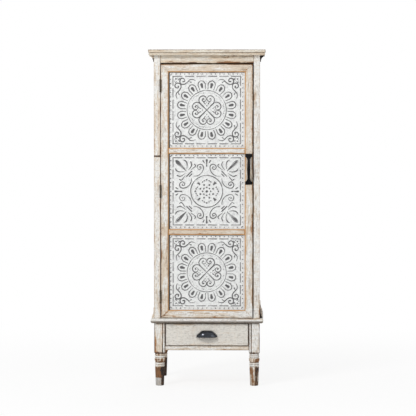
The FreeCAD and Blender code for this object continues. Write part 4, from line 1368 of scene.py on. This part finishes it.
# %% [markdown]
# ## Hinges
#
# Each hinge has two leaves let into the wood, three knuckles and a pin. The
# knuckles are hollow and only just round at their ends, so a thin dark line
# shows between them. Each leaf is held with two flat screws, which only show
# while the door stands open.

# %% Leaves, knuckles and pins
axis_low, axis_high = corners("hinge_pins")
hinge_x, hinge_y = ((axis_low + axis_high) / 2).xy
pin = (axis_high.x - axis_low.x) / 2
KNUCKLES = 3
PLATE = 1.0 * MM
PLATE_WIDTH = 15.3 * MM
END_GAP = 0.1 * MM


def both_ends(half, length):
    """A whole outline from its lower half."""
    return half + [(radius, length - height) for radius, height in reversed(half)]


def hinge_leaf(node, side, body):
    """A leaf: side -1 lies on the cabinet and holds the outer knuckles, 1 lies on the door."""
    low, high = corners(node)
    size = high.z - low.z
    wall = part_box("face_stile_left")[1][0] if side < 0 else door_low.x
    near, far = sorted((wall, wall + side * PLATE))
    front = high.y - PLATE_WIDTH
    first = 0 if side < 0 else 1
    feet = [low.z + index * size / KNUCKLES + END_GAP for index in range(first, KNUCKLES, 2)]
    length = size / KNUCKLES - 2 * END_GAP
    shape = start_piece()
    block(shape, (near, front, low.z), (far, high.y, high.z))
    for foot in feet:
        block(shape, (near, hinge_y, foot), (far, front + 0.5 * MM, foot + length))
    ease(shape, shape.edges[:], 0.25 * MM, 1)
    outer, bore = hinge_y - low.y, pin + 0.1 * MM
    ring = [(bore, 0.3 * MM), (bore + 0.2 * MM, 0), (outer - 0.4 * MM, 0), (outer, 0.4 * MM)]
    ring = both_ends(ring, length)
    for foot in feet:
        lathe(shape, ring + ring[:1], (hinge_x, hinge_y, foot), steps=32)
    for share in (0.2, 0.8):
        place = (wall, (front + high.y) / 2 + 1.5 * MM, low.z + size * share)
        screw(shape, place, (-side, 0, 0), 2.8 * MM, 0.35 * MM)
    finish_piece(node, shape, aged_steel, body)


half_pin = [(0.0, 0.0), (pin * 0.6, 0.1 * MM), (pin * 0.9, 0.4 * MM), (pin, 1.0 * MM)]
shape = start_piece()
for name in ("bottom", "middle", "top"):
    hinge_leaf(f"hinge_leaf_cabinet_{name}", -1, "carcass")
    hinge_leaf(f"hinge_leaf_door_{name}", 1, "door")
    low, high = corners(f"hinge_leaf_cabinet_{name}")
    lathe(shape, both_ends(half_pin, high.z - low.z), (hinge_x, hinge_y, low.z))
pins = finish_piece("hinge_pins", shape, aged_steel)
print("hinges dressed, pins have", len(pins.data.polygons), "faces")

# %% [markdown]
# ## Door pull
#
# The pull is cast iron: two flat ends, hollow flares and a round grip that bows
# away from the door. Its section changes all along it, so it is made as a tube:
# a grid is rolled up, and every ring of points gets the half width, the front
# and the back that the casting has at that height.

# %% Sizes of the casting, in millimetres
pull_low, pull_high = corners("door_pull")
pull_middle = (pull_low + pull_high) / 2
pull_half = (pull_high.z - pull_low.z) / 2 / MM
pull_reach = (pull_high.y - pull_low.y) / MM
FLAT, FLARE = 12.0, 14.0
FLAT_WIDTH, NECK_WIDTH, GRIP_WIDTH = 14.0, 4.8, 6.25
CORNER = 1.6
END_DEPTH, GRIP_DEPTH = 3.0, 6.0
SOLID_END = 17.0
AROUND, ALONG = 40, 110


def bar_width(away):
    """Half width of the pull, away from its middle."""
    neck = pull_half - FLAT - FLARE
    if away > neck + FLARE:
        return FLAT_WIDTH
    if away > neck:
        return FLAT_WIDTH - (FLAT_WIDTH - NECK_WIDTH) * math.sqrt(1 - ((away - neck) / FLARE) ** 2)
    return NECK_WIDTH + (GRIP_WIDTH - NECK_WIDTH) * math.cos(away / neck * math.pi / 2)


def pull_place(angle, share):
    """A point of the pull, from an angle round its bar and a share of its length."""
    # Rings gather towards both ends, where the corners are rounded.
    z = -math.cos(share * math.pi) * pull_half
    lost = 1 - math.sqrt(max(0.0, 1 - max(0.0, (abs(z) - pull_half + CORNER) / CORNER) ** 2))
    front = END_DEPTH + (pull_reach - END_DEPTH) * math.cos(z / pull_half * math.pi / 2) - lost
    back, roundness = 0.0, 0.42
    foot = pull_half - SOLID_END
    if abs(z) < foot:
        back = (pull_reach - GRIP_DEPTH) * math.cos(z / foot * math.pi / 2)
        roundness += 0.5 * (1 - (z / foot) ** 2)
    x, y = (math.copysign(abs(way) ** roundness, way) for way in (math.cos(angle), math.sin(angle)))
    width = bar_width(abs(z)) - CORNER * lost
    depth = (front + back) / 2 - (front - back) / 2 * y
    return Vector((pull_middle.x + width * x * MM, pull_high.y - depth * MM, pull_middle.z + z * MM))


# %% Rolled grid
shape = start_piece()
made = bmesh.ops.create_grid(shape, x_segments=AROUND, y_segments=ALONG, size=0.5)["verts"]
for point in made:
    point.co = pull_place((point.co.x + 0.5) * math.tau, point.co.y + 0.5)
bmesh.ops.remove_doubles(shape, verts=made, dist=1e-6)
bmesh.ops.holes_fill(shape, edges=[edge for edge in shape.edges if edge.is_boundary], sides=0)
piece = finish_piece("door_pull", shape, black_iron, "door", 50)
print("door pull has", len(piece.data.polygons), "faces")

# %% [markdown]
# ## Cup pull
#
# The drawer's pull is a thin pressed hood, open below, for the fingers. Its rim
# follows half an ellipse and its wall climbs back to the drawer front. One grid
# follows both curves at once, and Solidify's operator gives it its thickness.

# %% Hood and bosses
CUP_OUTLINE = [
    (0.0, 1.0), (0.25, 1.0), (0.42, 0.985), (0.53, 0.92), (0.66, 0.76), (0.81, 0.55), (0.92, 0.37),
    (0.985, 0.2), (1.0, 0.07), (1.0, 0.0),
]
BOSS = [(2.1 * MM, 0), (3.8 * MM, 0), (4.0 * MM, 0.3 * MM), (4.0 * MM, 14 * MM)]
BOSS_PLACE = 17.0 * MM
cup_low, cup_high = corners("cup_pull")
cup_wide = (cup_high.x - cup_low.x) / 2
cup_deep, cup_tall = (cup_high - cup_low).yz
cup_chain = [Vector((x * cup_wide, z * cup_tall)) for x, z in curve_through(CUP_OUTLINE, 8)]


def cup_place(across, up):
    """A point of the hood: across from -1 to 1, up from the rim 0 to the wall 1."""
    spot = min(abs(across), 1.0) * (len(cup_chain) - 1)
    first = min(int(spot), len(cup_chain) - 2)
    wall = cup_chain[first].lerp(cup_chain[first + 1], spot - first)
    turn = abs(across) * math.pi / 2
    climb = up * math.pi / 2
    x = cup_wide * math.sin(turn) + (wall.x - cup_wide * math.sin(turn)) * (1 - math.cos(climb))
    y = -cup_deep * math.cos(turn) * math.cos(climb)
    return Vector((math.copysign(min(x, cup_wide), across), y, min(wall.y, cup_tall) * math.sin(climb)))


shape = start_piece()
for point in bmesh.ops.create_grid(shape, x_segments=72, y_segments=20, size=0.5)["verts"]:
    point.co = cup_place(point.co.x * 2, point.co.y + 0.5)
bmesh.ops.recalc_face_normals(shape, faces=shape.faces[:])
top = max(shape.faces, key=lambda face: face.calc_center_median().z)
if top.normal.z < 0:
    bmesh.ops.reverse_faces(shape, faces=shape.faces[:])
bmesh.ops.solidify(shape, geom=shape.faces[:], thickness=2.0 * MM)
for point in shape.verts:
    point.co.y = min(point.co.y, 0.0)
    point.co.z = max(point.co.z, 0.0)
for x in (-BOSS_PLACE, BOSS_PLACE):
    lathe(shape, BOSS, (x, 0, BOSS_PLACE), (0, -1, 0))
bmesh.ops.translate(shape, vec=((cup_low.x + cup_high.x) / 2, cup_high.y, cup_low.z), verts=shape.verts[:])
piece = finish_piece("cup_pull", shape, dark_iron, "drawer", 50)
print("cup pull has", len(piece.data.polygons), "faces")

# %% [markdown]
# ## Magnetic catch
#
# A brown plastic body under the upper shelf holds a magnet between two steel
# lips. It keeps the door shut by pulling on a thin plate on the door's back.

# %% Catch and plate
low, high = corners("magnetic_catch")
front = high.y - 15.0 * MM
shape = start_piece()
block(shape, (low.x, front, low.z), high)
for share in (0.125, 0.625):
    foot = low.z + share * (high.z - low.z)
    head = foot + 0.25 * (high.z - low.z)
    block(shape, (low.x + 2 * MM, low.y, foot), (high.x - 2 * MM, front + 1.5 * MM, head))
ease(shape, shape.edges[:], 0.6 * MM)
for x in (low.x + 5 * MM, high.x - 5 * MM):
    screw(shape, (x, (front + high.y) / 2, low.z + 0.1 * MM), (0, 0, -1), 2.6 * MM, 0.1 * MM)
finish_piece("magnetic_catch", shape, catch_plastic)

low, high = corners("catch_plate")
shape = start_piece()
block(shape, low, high)
ease(shape, shape.edges[:], 0.4 * MM)
for x in (low.x + 7 * MM, high.x - 7 * MM):
    screw(shape, (x, high.y - 0.3 * MM, (low.z + high.z) / 2), (0, 1, 0), 2.8 * MM, 0.3 * MM)
finish_piece("catch_plate", shape, plain_steel, "door")
print("catch dressed")
